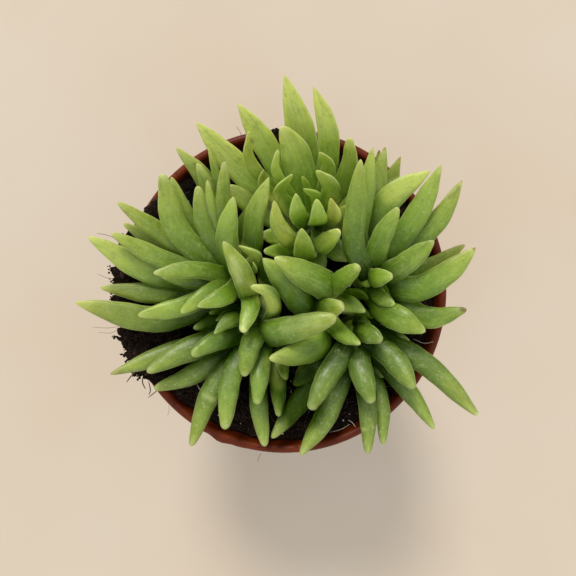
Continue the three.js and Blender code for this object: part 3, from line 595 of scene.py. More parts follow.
def leaf_finish():
    """Succulent leaf: dark green at the heart, yellow-green at the tip, mottled and faintly veined, with
    painted shade where leaves lie close and painted glints.
    """
    finish = Finish("leaf_skin")
    along, across, upper = (finish.attribute("leaf_place", part) for part in range(3))
    ripe_and_lit, pale_and_lit, grey = (finish.attribute("leaf_kind", part) for part in range(3))
    stain, glint, painted_shade = (finish.attribute("leaf_marks", part) for part in range(3))
    grain = finish.attribute("leaf_grain")
    chance = finish.attribute("leaf_grain", 2)
    place = finish.place()

    # From root to tip, on fresh and on dull leaves. Each rosette's offset in the ripening is partly painted
    # light, higher on the top and left rosettes.
    drift = finish.maths("SUBTRACT", finish.noise(place, 0.12, 3.0), 0.5)
    ripe_and_lit = finish.plus(ripe_and_lit, finish.times(drift, 0.4))
    fresh = finish.ramp(ripe_and_lit, [
        (0.0, (66, 106, 4)),
        (0.25, (106, 154, 10)),
        (0.55, (148, 190, 40)),
        (0.82, (182, 208, 74)),
        (1.0, (212, 222, 116)),
    ])
    dull = finish.ramp(ripe_and_lit, [
        (0.0, (62, 96, 10)),
        (0.35, (108, 140, 36)),
        (0.7, (150, 174, 66)),
        (1.0, (184, 198, 86)),
    ])
    finish.colour = finish.blend(grey, fresh, dull)
    # Paler yellow-green on the outer part: partly the leaves' own colour, partly painted light, strongest on
    # the top rosette
    finish.coat(pale_and_lit, (232, 244, 122))
    duller = finish.blend(1.0, finish.colour, (222, 222, 180), "MULTIPLY")
    own = finish.step(chance, 0.1 * GRAIN_APART, GRAIN_APART)
    finish.colour = finish.blend(own, duller, finish.colour)

    # Veins run from root to tip, and clouds of paler and darker tissue lie between them.
    vein = finish.noise(grain, (0.09, 1.1, 1.0), 3.0, 0.6, 0.4)
    vein = finish.times(finish.step(vein, 0.45, 0.66), finish.step(along, 0.1, 0.7, 0.08, 0.26))
    finish.coat(vein, (112, 146, 40))
    cloud = finish.noise(grain, (0.3, 0.5, 1.0), 4.0, 0.6, 0.6)
    finish.dab(cloud, 0.5, 0.75, 0.3, (194, 216, 102))
    finish.dab(cloud, 0.5, 0.28, 0.3, (80, 120, 14))

    # Fine pale streaks and a grain finer than the clouds
    streak = finish.noise(grain, (0.16, 2.6, 1.0), 2.0, 0.5)
    finish.dab(streak, 0.56, 0.72, 0.2, (206, 224, 120))
    fine = finish.noise(place, 1.5, 3.0, 0.7)
    finish.dab(fine, 0.52, 0.72, 0.22, (204, 224, 120))
    finish.dab(fine, 0.48, 0.3, 0.2, (76, 116, 14))

    # Pale margin and tip, frost and specks
    finish.dab(finish.maths("ABSOLUTE", across), 0.88, 1.0, 0.65, (210, 222, 150))
    finish.dab(along, 0.9, 1.0, 0.34, (218, 224, 158))
    frosty = finish.step(grey, 0.0, 1.0, 0.1, 0.6)
    frost = finish.step(finish.noise(place, 0.7, 5.0, 0.7), 0.52, 0.74)
    finish.coat(finish.times(frost, frosty), (204, 216, 168))
    speck = finish.step(finish.cells(place, 0.95), 0.1, 0.34, 1.0, 0.0)
    sparse = finish.step(finish.noise(place, 0.3, 2.0), 0.54, 0.66)
    finish.coat(finish.times(finish.times(speck, sparse), frosty), (226, 232, 204))

    # Duller underside, stains, painted shade (darker green where leaves lie close, at the roots of the lower
    # rosettes, down the sides of round leaves and at the shade marks), and painted glint highlights
    finish.coat(finish.step(upper, -0.5, 0.1, 0.35, 0.0), (98, 126, 52))
    finish.coat(stain, (122, 84, 44))
    # Painted shade: the colour is multiplied towards a dark green
    finish.coat(painted_shade, finish.blend(1.0, finish.colour, (96, 120, 26), "MULTIPLY"))
    finish.coat(glint, (214, 226, 150))

    ribs = finish.noise(grain, (0.3, 0.9, 1.0), 3.0)
    finish.bump(finish.plus(ribs, finish.times(finish.noise(place, 1.6, 4.0, 0.65), 0.8)), 0.5, 0.3)
    finish.set(Base_Color=finish.colour,
               Roughness=finish.step(finish.noise(place, 0.8, 2.0), 0.3, 0.75, 0.3, 0.48),
               Subsurface_Weight=0.5, Subsurface_Radius=(1.0, 0.95, 0.25), Subsurface_Scale=2.2 * MM,
               Specular_IOR_Level=finish.step(painted_shade, 0.25, 0.9, 0.5, 0.1),
               Coat_Weight=finish.step(painted_shade, 0.2, 0.65, 0.3, 0.0), Coat_Roughness=0.3)
    return finish.material


def pot_finish():
    """Thin terracotta-coloured plastic: faint mould lines, scuffs, dust and a little soil at the lip."""
    finish = Finish("terracotta_plastic")
    place = finish.place()
    height = finish.node("ShaderNodeSeparateXYZ", {0: place}).outputs[2]
    cloud = finish.noise(place, 0.06, 4.0, 0.6)
    finish.colour = finish.blend(finish.step(cloud, 0.3, 0.75), (100, 37, 8), (126, 50, 12))
    flow = finish.noise(place, (0.5, 0.5, 0.06), 3.0)
    finish.dab(flow, 0.5, 0.8, 0.3, (84, 30, 12))
    dust = finish.step(finish.noise(place, 1.4, 5.0, 0.7), 0.58, 0.72)
    finish.coat(finish.times(dust, 0.5), (150, 82, 46))
    grime = finish.step(finish.noise(place, 0.7, 5.0, 0.7), 0.54, 0.68)
    grime = finish.times(grime, finish.step(height, 64.0, POT_HEIGHT, 0.12, 0.85))
    finish.coat(grime, (46, 22, 12))
    finish.coat(finish.attribute("flake", 0), (226, 122, 68))
    lines = finish.noise(place, (0.1, 0.1, 2.4), 1.0)
    finish.bump(finish.plus(finish.noise(place, 1.1, 4.0), lines), 0.2, 0.12)
    dullness = finish.plus(finish.step(cloud, 0.2, 0.8, 0.36, 0.5), finish.times(grime, 0.3))
    finish.set(Base_Color=finish.colour, Roughness=dullness, Specular_IOR_Level=0.22)
    return finish.material


COMPOST_DARK = (8, 6, 4)
COMPOST_BROWN = (42, 29, 20)
COMPOST_PALE = (118, 96, 74)
COMPOST_SHADE = (6, 5, 3)


def compost_finish():
    """Dark peat with brown and pale crumbs, and painted shade, near black, where leaves lie over it."""
    finish = Finish("compost")
    place = finish.place()
    peat = finish.noise(place, 1.6, 6.0, 0.75)
    finish.colour = finish.ramp(peat, [(0.34, COMPOST_DARK), (0.56, COMPOST_BROWN), (0.74, COMPOST_PALE)])
    chance = finish.attribute("crumb", 0)
    finish.dab(chance, 0.5, 0.9, 0.7, COMPOST_BROWN)
    finish.dab(chance, 0.2, 0.05, 0.7, COMPOST_DARK)
    finish.dab(chance, 0.94, 0.98, 0.5, COMPOST_PALE)
    # Painted shade, near black, where leaves lie over the compost
    finish.coat(finish.attribute("crumb", 1), COMPOST_SHADE)
    finish.bump(finish.noise(place, 2.4, 6.0, 0.8), 0.9, 0.5)
    finish.set(Base_Color=finish.colour, Roughness=0.95, Specular_IOR_Level=0.15)
    return finish.material


def plain_finish(name, low, high, roughness, scale):
    """A finish that wanders between two colours."""
    finish = Finish(name)
    place = finish.place()
    colour = finish.blend(finish.noise(place, scale, 4.0), low, high)
    finish.bump(finish.noise(place, scale * 2, 3.0), 0.4, 0.15)
    finish.set(Base_Color=colour, Roughness=roughness)
    return finish.material


def floor_finish():
    finish = Finish("pale_floor")
    cloud = finish.noise(finish.place(), 0.008, 3.0)
    colour = finish.blend(finish.step(cloud, 0.3, 0.7), (226, 208, 184), (229, 215, 194))
    finish.set(Base_Color=colour, Roughness=0.7)
    return finish.material


# Meshes

def make_object(name, points_mm, faces, finish, slot):
    """A piece that rides on the one body, from points in millimetres."""
    mesh = bpy.data.meshes.new(name)
    mesh.from_pydata((np.asarray(points_mm) * MM).tolist(), [], faces)
    mesh.shade_smooth()
    mesh.materials.append(finish)
    made = bpy.data.objects.new(name, mesh)
    bpy.context.collection.objects.link(made)
    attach(made, "root")
    return made


def store(piece, name, vectors):
    """Keeps three numbers for each point of a piece for its material."""
    made = piece.data.attributes.new(name, "FLOAT_VECTOR", "POINT")
    made.data.foreach_set("vector", np.asarray(vectors, np.float32).ravel())


def loft_faces(rings, sides):
    """Faces of a closed skin through rings of points, then one point for each end."""
    first = rings * sides
    faces = []
    for j in range(sides):
        k = (j + 1) % sides
        for a in range(0, first - sides, sides):
            faces.append((a + j, a + k, a + k + sides, a + j + sides))
        faces.append((first, k, j))
        faces.append((first + 1, first - sides + j, first - sides + k))
    return faces


def joined(skins):
    """Points and faces of several skins as one."""
    faces = []
    offset = 0
    for points, own in skins:
        faces += [[corner + offset for corner in face] for face in own]
        offset += len(points)
    return np.vstack([points for points, _ in skins]), faces


# Smooth chance values are sums of waves. Each wave is shorter and weaker than the one before.
WAVES = 7
WAVE_FIRST = 0.7
WAVE_GROWTH = 0.9
WAVE_FADE = 0.5
WAVE_SHIFT = 6.28
WAVE_PEAK = 2.4


def ripples(points, scale, seed):
    """Smooth chance values from about -1 to 1 at places, as sums of waves in seeded directions."""
    random = make_random(seed)
    total = np.zeros(len(points))
    for k in range(WAVES):
        direction = np.array([random() - 0.5, random() - 0.5, random() - 0.5])
        way = points @ (direction / np.linalg.norm(direction))
        frequency = scale * (WAVE_FIRST + WAVE_GROWTH * k)
        total += np.sin(way * frequency + random() * WAVE_SHIFT) / (1 + WAVE_FADE * k)
    return total / WAVE_PEAK


def dents(points, rows):
    """Smooth dents and lumps at places, from rows of depth, scale and seed."""
    return sum(depth * ripples(points, scale, seed) for depth, scale, seed in rows)


def turns(count):
    """Angles at even steps round a circle."""
    return np.arange(count) / count * 2 * math.pi


# Marks on leaves, as seen at the height of the lip: both ends as x and y, radius and strength. Stains are the
# leaves' own; glints are painted highlights; shade marks are painted shade. Pale ones make a leaf paler and
# lift the painted shade, and fresh ones ripen it to a lighter green, partly as painted light, and lift the
# painted shade.
MARKS = {
    "stain": [
        (52.6, 11.9, 53.2, 11.6, 0.8, 0.7),
        (49.4, -4.9, 50.6, -5.2, 0.9, 0.8),
        (47, 12.8, 50, 13, 0.8, 0.45),
        (30.2, 36.6, 32.6, 37.4, 0.9, 0.5),
        (27.4, 39.6, 28.2, 40, 0.7, 0.6),
        (25.8, 38.4, 26.2, 38.6, 0.5, 0.8),
        (49, 30.8, 49.6, 31.2, 0.7, 0.5),
        (38.6, -18.5, 53, -33, 0.5, 0.15),
        (-9, 41.8, -8.8, 41.2, 0.5, 0.5),
        (13.6, 25, 13.6, 20.5, 0.8, 0.28),
        (45.6, 26, 47.8, 28.4, 0.8, 0.3),
        (41, 8, 48.5, 12, 2, 0.22),
        (-47.4, -22.8, -45.4, -22.2, 0.8, 0.3),
    ],
    "glint": [
        (0, -10.6, 9, -8.8, 1.3, 0.2),
        (29.2, 30, 33, 31.7, 0.35, 0.6),
        (44, 25.7, 47.3, 28.4, 0.35, 0.5),
        (53.2, -34.2, 53.6, -34.6, 0.5, 0.9),
        (-14.4, 9, -12.4, 3, 0.9, 0.45),
        (21.4, -38, 24.6, -37.8, 0.3, 0.35),
        (-0.5, 18, 1.6, 15.6, 0.35, 0.55),
        (-8.6, 2.1, -7.4, 1.4, 0.45, 0.55),
        (-2.4, 9.3, 0.4, 8.4, 0.3, 0.5),
        (12, 16.9, 15.2, 15.8, 0.3, 0.4),
        (14, -2.2, 16.8, -5.6, 0.5, 0.4),
        (-12, -10, -10.7, -11.4, 0.6, 0.4),
        (1, -7.9, 12.4, -6.5, 0.6, 0.3),
        (-23, -29, -19.4, -30.4, 0.45, 0.45),
    ],
    "pale": [
        (29.5, 26.5, 37, 32, 2.8, 0.6),
        (-2.7, 24.4, 0.2, 15, 2.4, 0.95),
        (13.4, 25.2, 14.8, 17.6, 2, 0.75),
        (9.2, 12.6, 14.6, 16.2, 1.8, 0.5),
        (-8.4, 1.8, -3.2, -4.4, 2, 0.8),
        (-12, 12.2, -8.2, 8.2, 1.5, 0.5),
        (-2.6, 9, 0.5, 7, 1.2, 0.5),
        (14, -2, 17.2, -6.4, 1.8, 0.45),
        (-4, -20, -1.6, -25.6, 1.8, 0.4),
        (-15.6, 12, -10.4, 1, 2.2, 0.28),
    ],
    # Painted shade on leaves
    "painted_shade": [
        (6, -18, 13, -13.5, 3, 0.5),
        (37.4, -6.3, 47.9, -5.8, 2.8, 0.55),
        (18, -1.5, 25, -5.5, 4, 0.6),
        (1.5, -23, 5, -33, 6, 1.1),
        (8, -2, 11, 1.5, 3.4, 0.4),
        (-30, -9, -50, -6, 3.6, 0.4),
        (-30, -0.5, -46, 0.8, 2.8, 0.35),
        (15, -15, 26, -12, 4, 0.35),
    ],
    # Lighter, riper green that lifts the painted shade, partly painted light
    "fresh": [
        (-4, -10, 5, -12, 3, 0.9),
        (5, -12, 13, -7.5, 2.8, 0.9),
        (-3, -18, 3, -20, 2.5, 0.4),
        (-5, -7, -9, -12, 2, 0.5),
        (-9, -14, -12, -24, 2.4, 0.6),
    ],
}

MARK_EDGE = 1.5
MARK_RIPENS = 0.22
MARK_CLEARS = 0.8

# How each rosette's leaves look: greyness; how far they have ripened from dark green to yellow-green, set
# higher on the top and left rosettes partly as painted light; how pale their outer part is, partly their own
# paler colour and partly painted light, strongest on the top rosette; painted shade of their own, strongest
# at the root, and painted shade where other leaves lie over them; and how full their upper face is, from
# channelled to round
LOOKS = {
    "rosette_top": (0.05, 0.14, 0.85, 0.0, 0.2, 0.1),
    "rosette_left": (0.45, 0.1, 0.12, 0.0, 0.55, 0.35),
    "rosette_centre": (0.3, 0.07, 0.3, 0.05, 0.9, 0.75),
    "rosette_right": (0.4, 0.09, 0.12, 0.0, 0.85, 0.45),
    "rosette_lower_left": (0.6, -0.02, 0.12, 0.3, 0.9, 0.95),
    "rosette_lower_right": (0.85, -0.02, 0.15, 0.35, 0.9, 1.0),
}
STEM_KIND = (0.5, 0, 0.5)
GREY_BY_AGE = (1.15, 0.7)
PALE_LIT_START = 14.0
PALE_LIT_RUN = 22.0
ROOT_SHADE_FADE = 0.75
SIDE_SHADE = 0.4

CROWD_REACH = 8.0
CROWD_RISE = 5.0
CROWD_CLEAR = 0.5
CROWD_FULL = 8.0
stations_of_all = np.vstack([leaf["spine"] for leaf in leaves])


def crowding(places):
    """How much leaf lies over each place, from 0 to 1: such places get painted shade, on leaves and on the
    compost.
    """
    away = np.linalg.norm(places[:, None, :2] - stations_of_all[None, :, :2], axis=2)
    above = stations_of_all[None, :, 2] - places[:, None, 2]
    weight = np.clip(1 - away / CROWD_REACH, 0, 1) * smoothstep((above - CROWD_CLEAR) / CROWD_RISE)
    return smoothstep(weight.sum(1) / CROWD_FULL)


# Fine leaf skin: rings along a leaf, closer at its tip, and points round it
LEAF_RINGS = 38
LEAF_SIDES = 20
RING_CROWDING = 1.9
SKIN_THICKNESS = 0.64

# The cross-section's height round the leaf, as shares of half its width
SECTION_LEVEL = 0.1
CHANNEL_RISE = 0.78
CHANNEL_DIPS = (0.6, 0.2)
FULL_RISE = 0.95
KEEL_DROP = 1.05
KEEL_SHARPNESS = 1.15
SECTION_LEAN = 0.5

# Waves of a leaf's edge as share of its width, waves along it and shift between leaves, and its dents
EDGE_WAVES = ((0.035, 9, 20), (0.02, 31, 50))
LEAF_DENTS = ((0.1, 0.75, 11), (0.05, 2.0, 12))
DENT_WIDTH = 1.5


def section_height(leaf, turn, chance):
    """Height of a leaf's cross-section at angles round it: channelled or full above, keeled below."""
    *_, fullness = LOOKS[leaf["head"]]
    lift = np.abs(np.sin(turn))
    dip = mix(*CHANNEL_DIPS, leaf["blunt"]) * lift ** 2
    channelled = SECTION_LEVEL + CHANNEL_RISE * lift * (1 - dip)
    top = mix(channelled, SECTION_LEVEL + FULL_RISE * lift, fullness)
    lean = (chance - 0.5) * SECTION_LEAN * np.cos(turn) * lift
    keel = SECTION_LEVEL - KEEL_DROP * lift ** KEEL_SHARPNESS
    return np.where(np.sin(turn) >= 0, top + lean, keel)


def marked(seen, kind):
    """How strongly marks of a kind show at places seen at the height of the lip."""
    most = np.zeros(len(seen))
    for x0, y0, x1, y1, radius, strength in MARKS[kind]:
        start = np.array([x0, y0])
        way = np.array([x1, y1]) - start
        share = np.clip((seen - start) @ way / (way @ way), 0, 1)
        away = np.linalg.norm(seen - start - share[:, None] * way, axis=1)
        most = np.maximum(most, strength * smoothstep(MARK_EDGE - away / radius))
    return most


def leaf_skin(leaf, chance):
    """Points of a leaf's closed skin, and for each its share along, across and up, grain, kind and marks."""
    grey, ripe_and_lit, pale_and_lit, rosette_shade, shade_below, fullness = LOOKS[leaf["head"]]
    shares = 1 - np.linspace(1, 0, LEAF_RINGS, endpoint=False) ** RING_CROWDING
    centre = curve_through(leaf["spine"], shares)
    span, w = spans(shares, STATIONS)
    side, face = (unit(mix(leaf[way][span], leaf[way][span + 1], w)) for way in ("side", "face"))
    wave = sum(depth * np.sin(shares * waves + chance * shift) for depth, waves, shift in EDGE_WAVES)
    half = leaf["width"] * width_at(1 - shares, leaf["blunt"]) / 2 * (1 + wave)
    turn = turns(LEAF_SIDES)
    u = np.cos(turn)
    v = section_height(leaf, turn, chance)
    out = side[:, None] * u[:, None] + face[:, None] * v[:, None] * SKIN_THICKNESS
    skin = (centre[:, None] + half[:, None, None] * out).reshape(-1, 3)
    fade = np.minimum(np.repeat(half, LEAF_SIDES), DENT_WIDTH) / DENT_WIDTH
    skin = skin + np.repeat(face, LEAF_SIDES, 0) * (dents(skin, LEAF_DENTS) * fade)[:, None]
    points = np.vstack([skin, leaf["spine"][0], leaf["spine"][-1]])

    along = np.append(np.repeat(shares, LEAF_SIDES), [0, 1])
    across = np.append(np.tile(u, LEAF_RINGS), [0, 0])
    upper = np.append(np.tile(v, LEAF_RINGS), [0, 0])
    width = np.append(np.repeat(half, LEAF_SIDES), [0, 0])
    from_root = along * leaf["length"]
    same = np.ones(len(along))
    grain = np.column_stack([from_root, across * width, same * chance * GRAIN_APART])

    pull = VIEW_HEIGHT / (EYE[2] - points[:, 2])
    seen = EYE[:2] + (points[:, :2] - EYE[:2]) * pull[:, None]
    mark = {kind: marked(seen, kind) for kind in MARKS}
    # Ripening along the leaf with the rosette's offset (partly painted light) and the fresh marks; the pale
    # share, partly painted light on the outer part of long leaves
    ripening_and_light = ripe_and_lit + 0.5 * along + 0.5 * from_root / LONG_LEAF + MARK_RIPENS * mark["fresh"]
    pale_lit_share = np.maximum(pale_and_lit * smoothstep((from_root - PALE_LIT_START) / PALE_LIT_RUN), mark["pale"])
    kind = np.column_stack([ripening_and_light, pale_lit_share, same * grey * mix(*GREY_BY_AGE, leaf["age"])])
    # Painted shade: at the root, where other leaves lie over, down the sides of round leaves and at the shade
    # marks; pale and fresh marks lift it
    painted_shade = rosette_shade * (1 - ROOT_SHADE_FADE * smoothstep(shares)) + shade_below * crowding(centre)
    painted_shade = np.append(np.repeat(painted_shade, LEAF_SIDES), [painted_shade[0], painted_shade[-1]])
    painted_shade += SIDE_SHADE * fullness * across ** 2 + mark["painted_shade"] * (1 - leaf["age"])
    painted_shade = np.minimum(painted_shade, 1) * (1 - MARK_CLEARS * mark["pale"]) * (1 - MARK_CLEARS * mark["fresh"])
    marks = np.column_stack([mark["stain"], mark["glint"], painted_shade])
    return points, np.column_stack([along, across, upper]), grain, kind, marks


def make_head(head, finish):
    """All leaves of one rosette and the short stem that carries them."""
    own = [leaf for leaf in leaves if leaf["head"] == head["name"]]
    random = make_random(SEED * 7 + len(own))
    parts = [leaf_skin(leaf, random()) for leaf in own]
    leaf_faces = loft_faces(LEAF_RINGS, LEAF_SIDES)
    profile = [
        (STEM_RADIUS, STEM_BOTTOM),
        (STEM_RADIUS, STEM_SHOULDER),
        (STEM_RADIUS * 0.8, (STEM_SHOULDER + STEM_TOP) / 2),
        (STEM_RADIUS / 2, STEM_TOP),
    ]
    stem, stem_faces = lathe_skin(profile, STEM_SIDES)
    stem += (*head["stem"], 0)
    blank = np.zeros((len(stem), 3))
    points, faces = joined([*((skin, leaf_faces) for skin, *_ in parts), (stem, stem_faces)])
    parts.append((stem, blank, stem, blank + STEM_KIND, blank))
    _, place, grain, kind, marks = (np.vstack(column) for column in zip(*parts))
    name = head["name"].replace("rosette", "leaves")
    piece = make_object(name, points, faces, finish, "leaf")
    for attribute, vectors in (("place", place), ("grain", grain), ("kind", kind), ("marks", marks)):
        store(piece, f"leaf_{attribute}", vectors)
    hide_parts(head["name"])


def lathe_skin(profile, sides):
    """A closed skin turned round the Z axis from a profile of radius and height, bottom first."""
    turn = turns(sides)
    rings = [polar(turn, r, z) for r, z in profile]
    ends = [(0, 0, profile[0][1]), (0, 0, profile[-1][1])]
    return np.vstack([*rings, ends]), loft_faces(len(profile), sides)


# Pot

def inner_wall(z):
    """Radius of the pot's inner wall at a height."""
    slope = (LIP_INNER - BASE_RADIUS) / SHOULDER
    return np.minimum(BASE_RADIUS - WALL + z * slope, LIP_INNER)


def arc(centre, radius, start, end, count):
    """Points on an arc of the profile, with its angles in degrees."""
    angles = np.radians(np.linspace(start, end, count))
    return [(centre[0] + radius * math.cos(angle), centre[1] + radius * math.sin(angle)) for angle in angles]


# Ragged flash on the lip's outer edge near the front
FLAKE_TURN = -113.0
FLAKE_HALF_ANGLE = 6.5
FLAKE_EDGE = 1.6
FLAKE_PUSH = 0.018
FLAKE_BELOW = 3.5
FLAKE_INWARD = 1.5
FLAKE_PLAIN = 0.35
FLAKE_RISE = 2.5
FLAKE_RUN = 1.2
FLAKE_WAVES = (2.3, 5.1)


def make_pot(finish):
    """The pot turned from its profile, with the flash on its lip and the drain holes in its base."""
    round_lip = LIP_WIDTH / 2
    bevel = (BASE_RADIUS - BASE_BEVEL, BASE_BEVEL)
    step = SHOULDER - LIP_STEP
    skirt = RIM_RADIUS - LIP_DRAFT
    profile = [
        (0.5, 0),
        (BASE_RADIUS - BASE_BEVEL, 0),
        *arc(bevel, BASE_BEVEL, -60, 0, 4),
        *((mix(BASE_RADIUS, LIP_INNER, t), mix(BASE_BEVEL, step, t)) for t in np.linspace(0.1, 0.97, 8)),
        (LIP_INNER, step - 0.4),
        (LIP_INNER + 0.3, step + 0.1),
        (skirt - 0.4, SHOULDER - 0.3),
        (skirt - 0.1, SHOULDER),
        (skirt, SHOULDER + 0.4),
        (skirt + LIP_DRAFT / 2, SHOULDER + 3),
        *arc((RIM_RADIUS - round_lip, POT_HEIGHT - round_lip), round_lip, 0, 180, 13),
        (inner_wall(SHOULDER) + 0.2, SHOULDER + 1),
        (inner_wall(SHOULDER), step),
        (inner_wall(BASE_THICKNESS), BASE_THICKNESS + 0.4),
        (inner_wall(BASE_THICKNESS) - 0.5, BASE_THICKNESS),
        (0.5, BASE_THICKNESS),
    ]
    points, faces = lathe_skin(profile, POT_SIDES)
    turn = np.degrees(np.arctan2(points[:, 1], points[:, 0]))
    out = np.hypot(points[:, 0], points[:, 1])

    high = smoothstep((points[:, 2] - POT_HEIGHT + FLAKE_BELOW) / FLAKE_RISE)
    on_edge = high * smoothstep((out - RIM_RADIUS + FLAKE_INWARD) / FLAKE_RUN)
    flake = on_edge * smoothstep(FLAKE_EDGE - np.abs(turn - FLAKE_TURN) / FLAKE_HALF_ANGLE)
    ragged = 0.5 + 0.5 * np.sin(turn * FLAKE_WAVES[0]) * np.sin(turn * FLAKE_WAVES[1] + 1)
    points[:, :2] *= (1 + flake * ragged * FLAKE_PUSH)[:, None]
    piece = make_object("pot_shell", points, faces, finish, "pot_plastic")
    store(piece, "flake", np.column_stack([flake * mix(FLAKE_PLAIN, 1, ragged), flake, flake]))
    cut_drains(piece)
    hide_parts("pot")


def cut_drains(piece):
    """Cuts the ring of drain holes through the base."""
    mesh = bmesh.new()
    for i in range(DRAIN_COUNT):
        turn = (i + 0.5) / DRAIN_COUNT * 2 * math.pi
        size = {"radius1": DRAIN_RADIUS * MM, "radius2": DRAIN_RADIUS * MM, "depth": 3 * BASE_THICKNESS * MM}
        hole = bmesh.ops.create_cone(mesh, cap_ends=True, segments=DRAIN_SIDES, **size)
        place = Vector(polar(turn, DRAIN_RING, BASE_THICKNESS / 2)) * MM
        bmesh.ops.translate(mesh, vec=place, verts=hole["verts"])
    data = bpy.data.meshes.new("drains")
    mesh.to_mesh(data)
    mesh.free()
    cutter = bpy.data.objects.new("drains", data)
    bpy.context.collection.objects.link(cutter)
    cut = piece.modifiers.new("drains", "BOOLEAN")
    cut.operation = "DIFFERENCE"
    cut.solver = "EXACT"
    cut.object = cutter
    bpy.context.view_layer.update()
    done = bpy.data.meshes.new_from_object(piece.evaluated_get(bpy.context.evaluated_depsgraph_get()))
    piece.modifiers.clear()
    old = piece.data
    piece.data = done
    done.name = piece.name
    for spare in (old, data):
        bpy.data.meshes.remove(spare)


# Compost

BED_RINGS = 84
BED_SIDES = 240
BED_EDGE = 41.5
BED_LUMPS = ((0.32, 1.1, 3), (0.22, 3.1, 5))
BED_CHANCE = 0.3


def bed_height(x, y):
    """The compost's surface with its fine lumps."""
    return soil_height(x, y) + dents(np.column_stack([x, y, np.zeros(len(x))]), BED_LUMPS)


def make_bed():
    """Points and faces of the compost inside the pot."""
    turn = turns(BED_SIDES)
    x = np.cos(turn)
    y = np.sin(turn)
    rim = inner_wall(soil_height(x * BED_EDGE, y * BED_EDGE))
    rim = np.minimum(rim, LIP_INNER - 0.2) - CLEARANCE
    step = SHOULDER - LIP_STEP
    rings = [
        polar(turn, inner_wall(BASE_THICKNESS) - CLEARANCE, BASE_THICKNESS + CLEARANCE),
        polar(turn, inner_wall(step) - CLEARANCE, step),
    ]
    for out in np.linspace(1, 0.01, BED_RINGS)[:, None] * rim:
        rings.append(polar(turn, out, bed_height(x * out, y * out)))
    centre = [(0, 0, BASE_THICKNESS + CLEARANCE), (0, 0, soil_height(0.0, 0.0))]
    return np.vstack([*rings, centre]), loft_faces(len(rings), BED_SIDES)


def ball(detail):
    """Corners and faces of a rounded ball of size one."""
    mesh = bmesh.new()
    bmesh.ops.create_icosphere(mesh, subdivisions=detail, radius=1.0)
    corners = np.array([list(corner.co) for corner in mesh.verts])
    faces = np.array([[corner.index for corner in face.verts] for face in mesh.faces])
    mesh.free()
    return corners, faces


# Crumbs are stretched along each axis, their corners are pushed in and out, and they lie flat.
LUMP_STRETCH = (0.6, 1.25)
LUMP_PUSH = (0.72, 1.28)
LUMP_FLATNESS = 0.8


def lumps(chance, places, sizes, detail):
    """Irregular crumbs at places: points, faces, and for each point a chance value and how much painted shade
    it gets from leaves above.
    """
    corners, faces = ball(detail)
    count = len(places)
    stretch = chance.uniform(*LUMP_STRETCH, (count, 1, 3)) * (1, 1, LUMP_FLATNESS)
    push = chance.uniform(*LUMP_PUSH, (count, len(corners), 1))
    turn = chance.uniform(0, 2 * math.pi, (count, 1))
    shape = corners[None] * push * stretch * sizes[:, None, None]
    x = shape[..., 0] * np.cos(turn) - shape[..., 1] * np.sin(turn)
    y = shape[..., 0] * np.sin(turn) + shape[..., 1] * np.cos(turn)
    points = np.stack([x, y, shape[..., 2]], -1) + places[:, None]
    starts = np.arange(count) * len(corners)
    own = np.repeat(np.column_stack([chance.uniform(0, 1, count), crowding(places)]), len(corners), 0)
    return points.reshape(-1, 3), (faces[None] + starts[:, None, None]).reshape(-1, 3).tolist(), own


# Compost heaped on the lip. SPILL_FINE rings go to each step.
SPILL_STEPS = 22
SPILL_FINE = 4
SPILL_OVERHANG = 1.3
SPILL_TAPER = 1.9
SPILL_HEIGHT = 2.1
SPILL_INWARD = 6.0
SPILL_CREST = 2.6
SPILL_SHOULDER = 0.6
SPILL_ROOT = 2.6
SPILL_DROP = 1.4
SPILL_RISE = 0.8
SPILL_THIN = 0.35
SPILL_EDGE = 0.55
SPILL_RAGGED = 0.4
SPILL_LUMPS = 0.3
SPILL_WAVES = (2.1, 4.7, 3.3)
SPILL_START = 8
SPILL_END = 4


def spill_section(i):
    """The heaped compost on the lip at a step from 0 to SPILL_STEPS: its outline as radius and height."""
    bottom = POT_HEIGHT + CLEARANCE
    inner = LIP_INNER - SPILL_INWARD
    fade = smoothstep(min(i / SPILL_START, (SPILL_STEPS - i) / SPILL_END))
    broad, fine, along = SPILL_WAVES
    ragged = fade * (SPILL_RAGGED * math.sin(i * broad) + SPILL_LUMPS * math.sin(i * fine + 1))
    outer = RIM_RADIUS + mix(-SPILL_TAPER, SPILL_OVERHANG, fade) + ragged
    crest = bottom + SPILL_HEIGHT * mix(SPILL_THIN, 1, fade) + SPILL_LUMPS * math.sin(i * along)
    return [
        (inner, bottom + mix(-SPILL_DROP, SPILL_RISE, fade)),
        (outer - SPILL_CREST, crest),
        (outer - SPILL_SHOULDER, bottom + mix(SPILL_EDGE, 1, fade)),
        (outer, bottom),
        (LIP_INNER + 0.1, bottom),
        (LIP_INNER - SPILL_SHOULDER, bottom - SPILL_DROP),
        (inner, bottom - SPILL_ROOT),
    ]


def spill_turn(i):
    return math.radians(HEAP_ANGLE + HEAP_HALF_ANGLE * mix(-1, 1, i / SPILL_STEPS))


def make_spill():
    """Points and faces of the heaped compost on the lip."""
    rings = []
    for i in np.linspace(0, SPILL_STEPS, SPILL_STEPS * SPILL_FINE + 1):
        turn = spill_turn(i)
        rings.append([polar(turn, r, z) for r, z in spill_section(i)])
    rings = np.array(rings)
    points = np.vstack([rings.reshape(-1, 3), rings[0].mean(0), rings[-1].mean(0)])
    return points, loft_faces(len(rings), rings.shape[1])


# How deep clods sit in the heap's side and top, and how many steps they stay clear of its ends
CLOD_INSET = 0.2
CLOD_SINK = 0.15
CLOD_MARGIN = 0.6


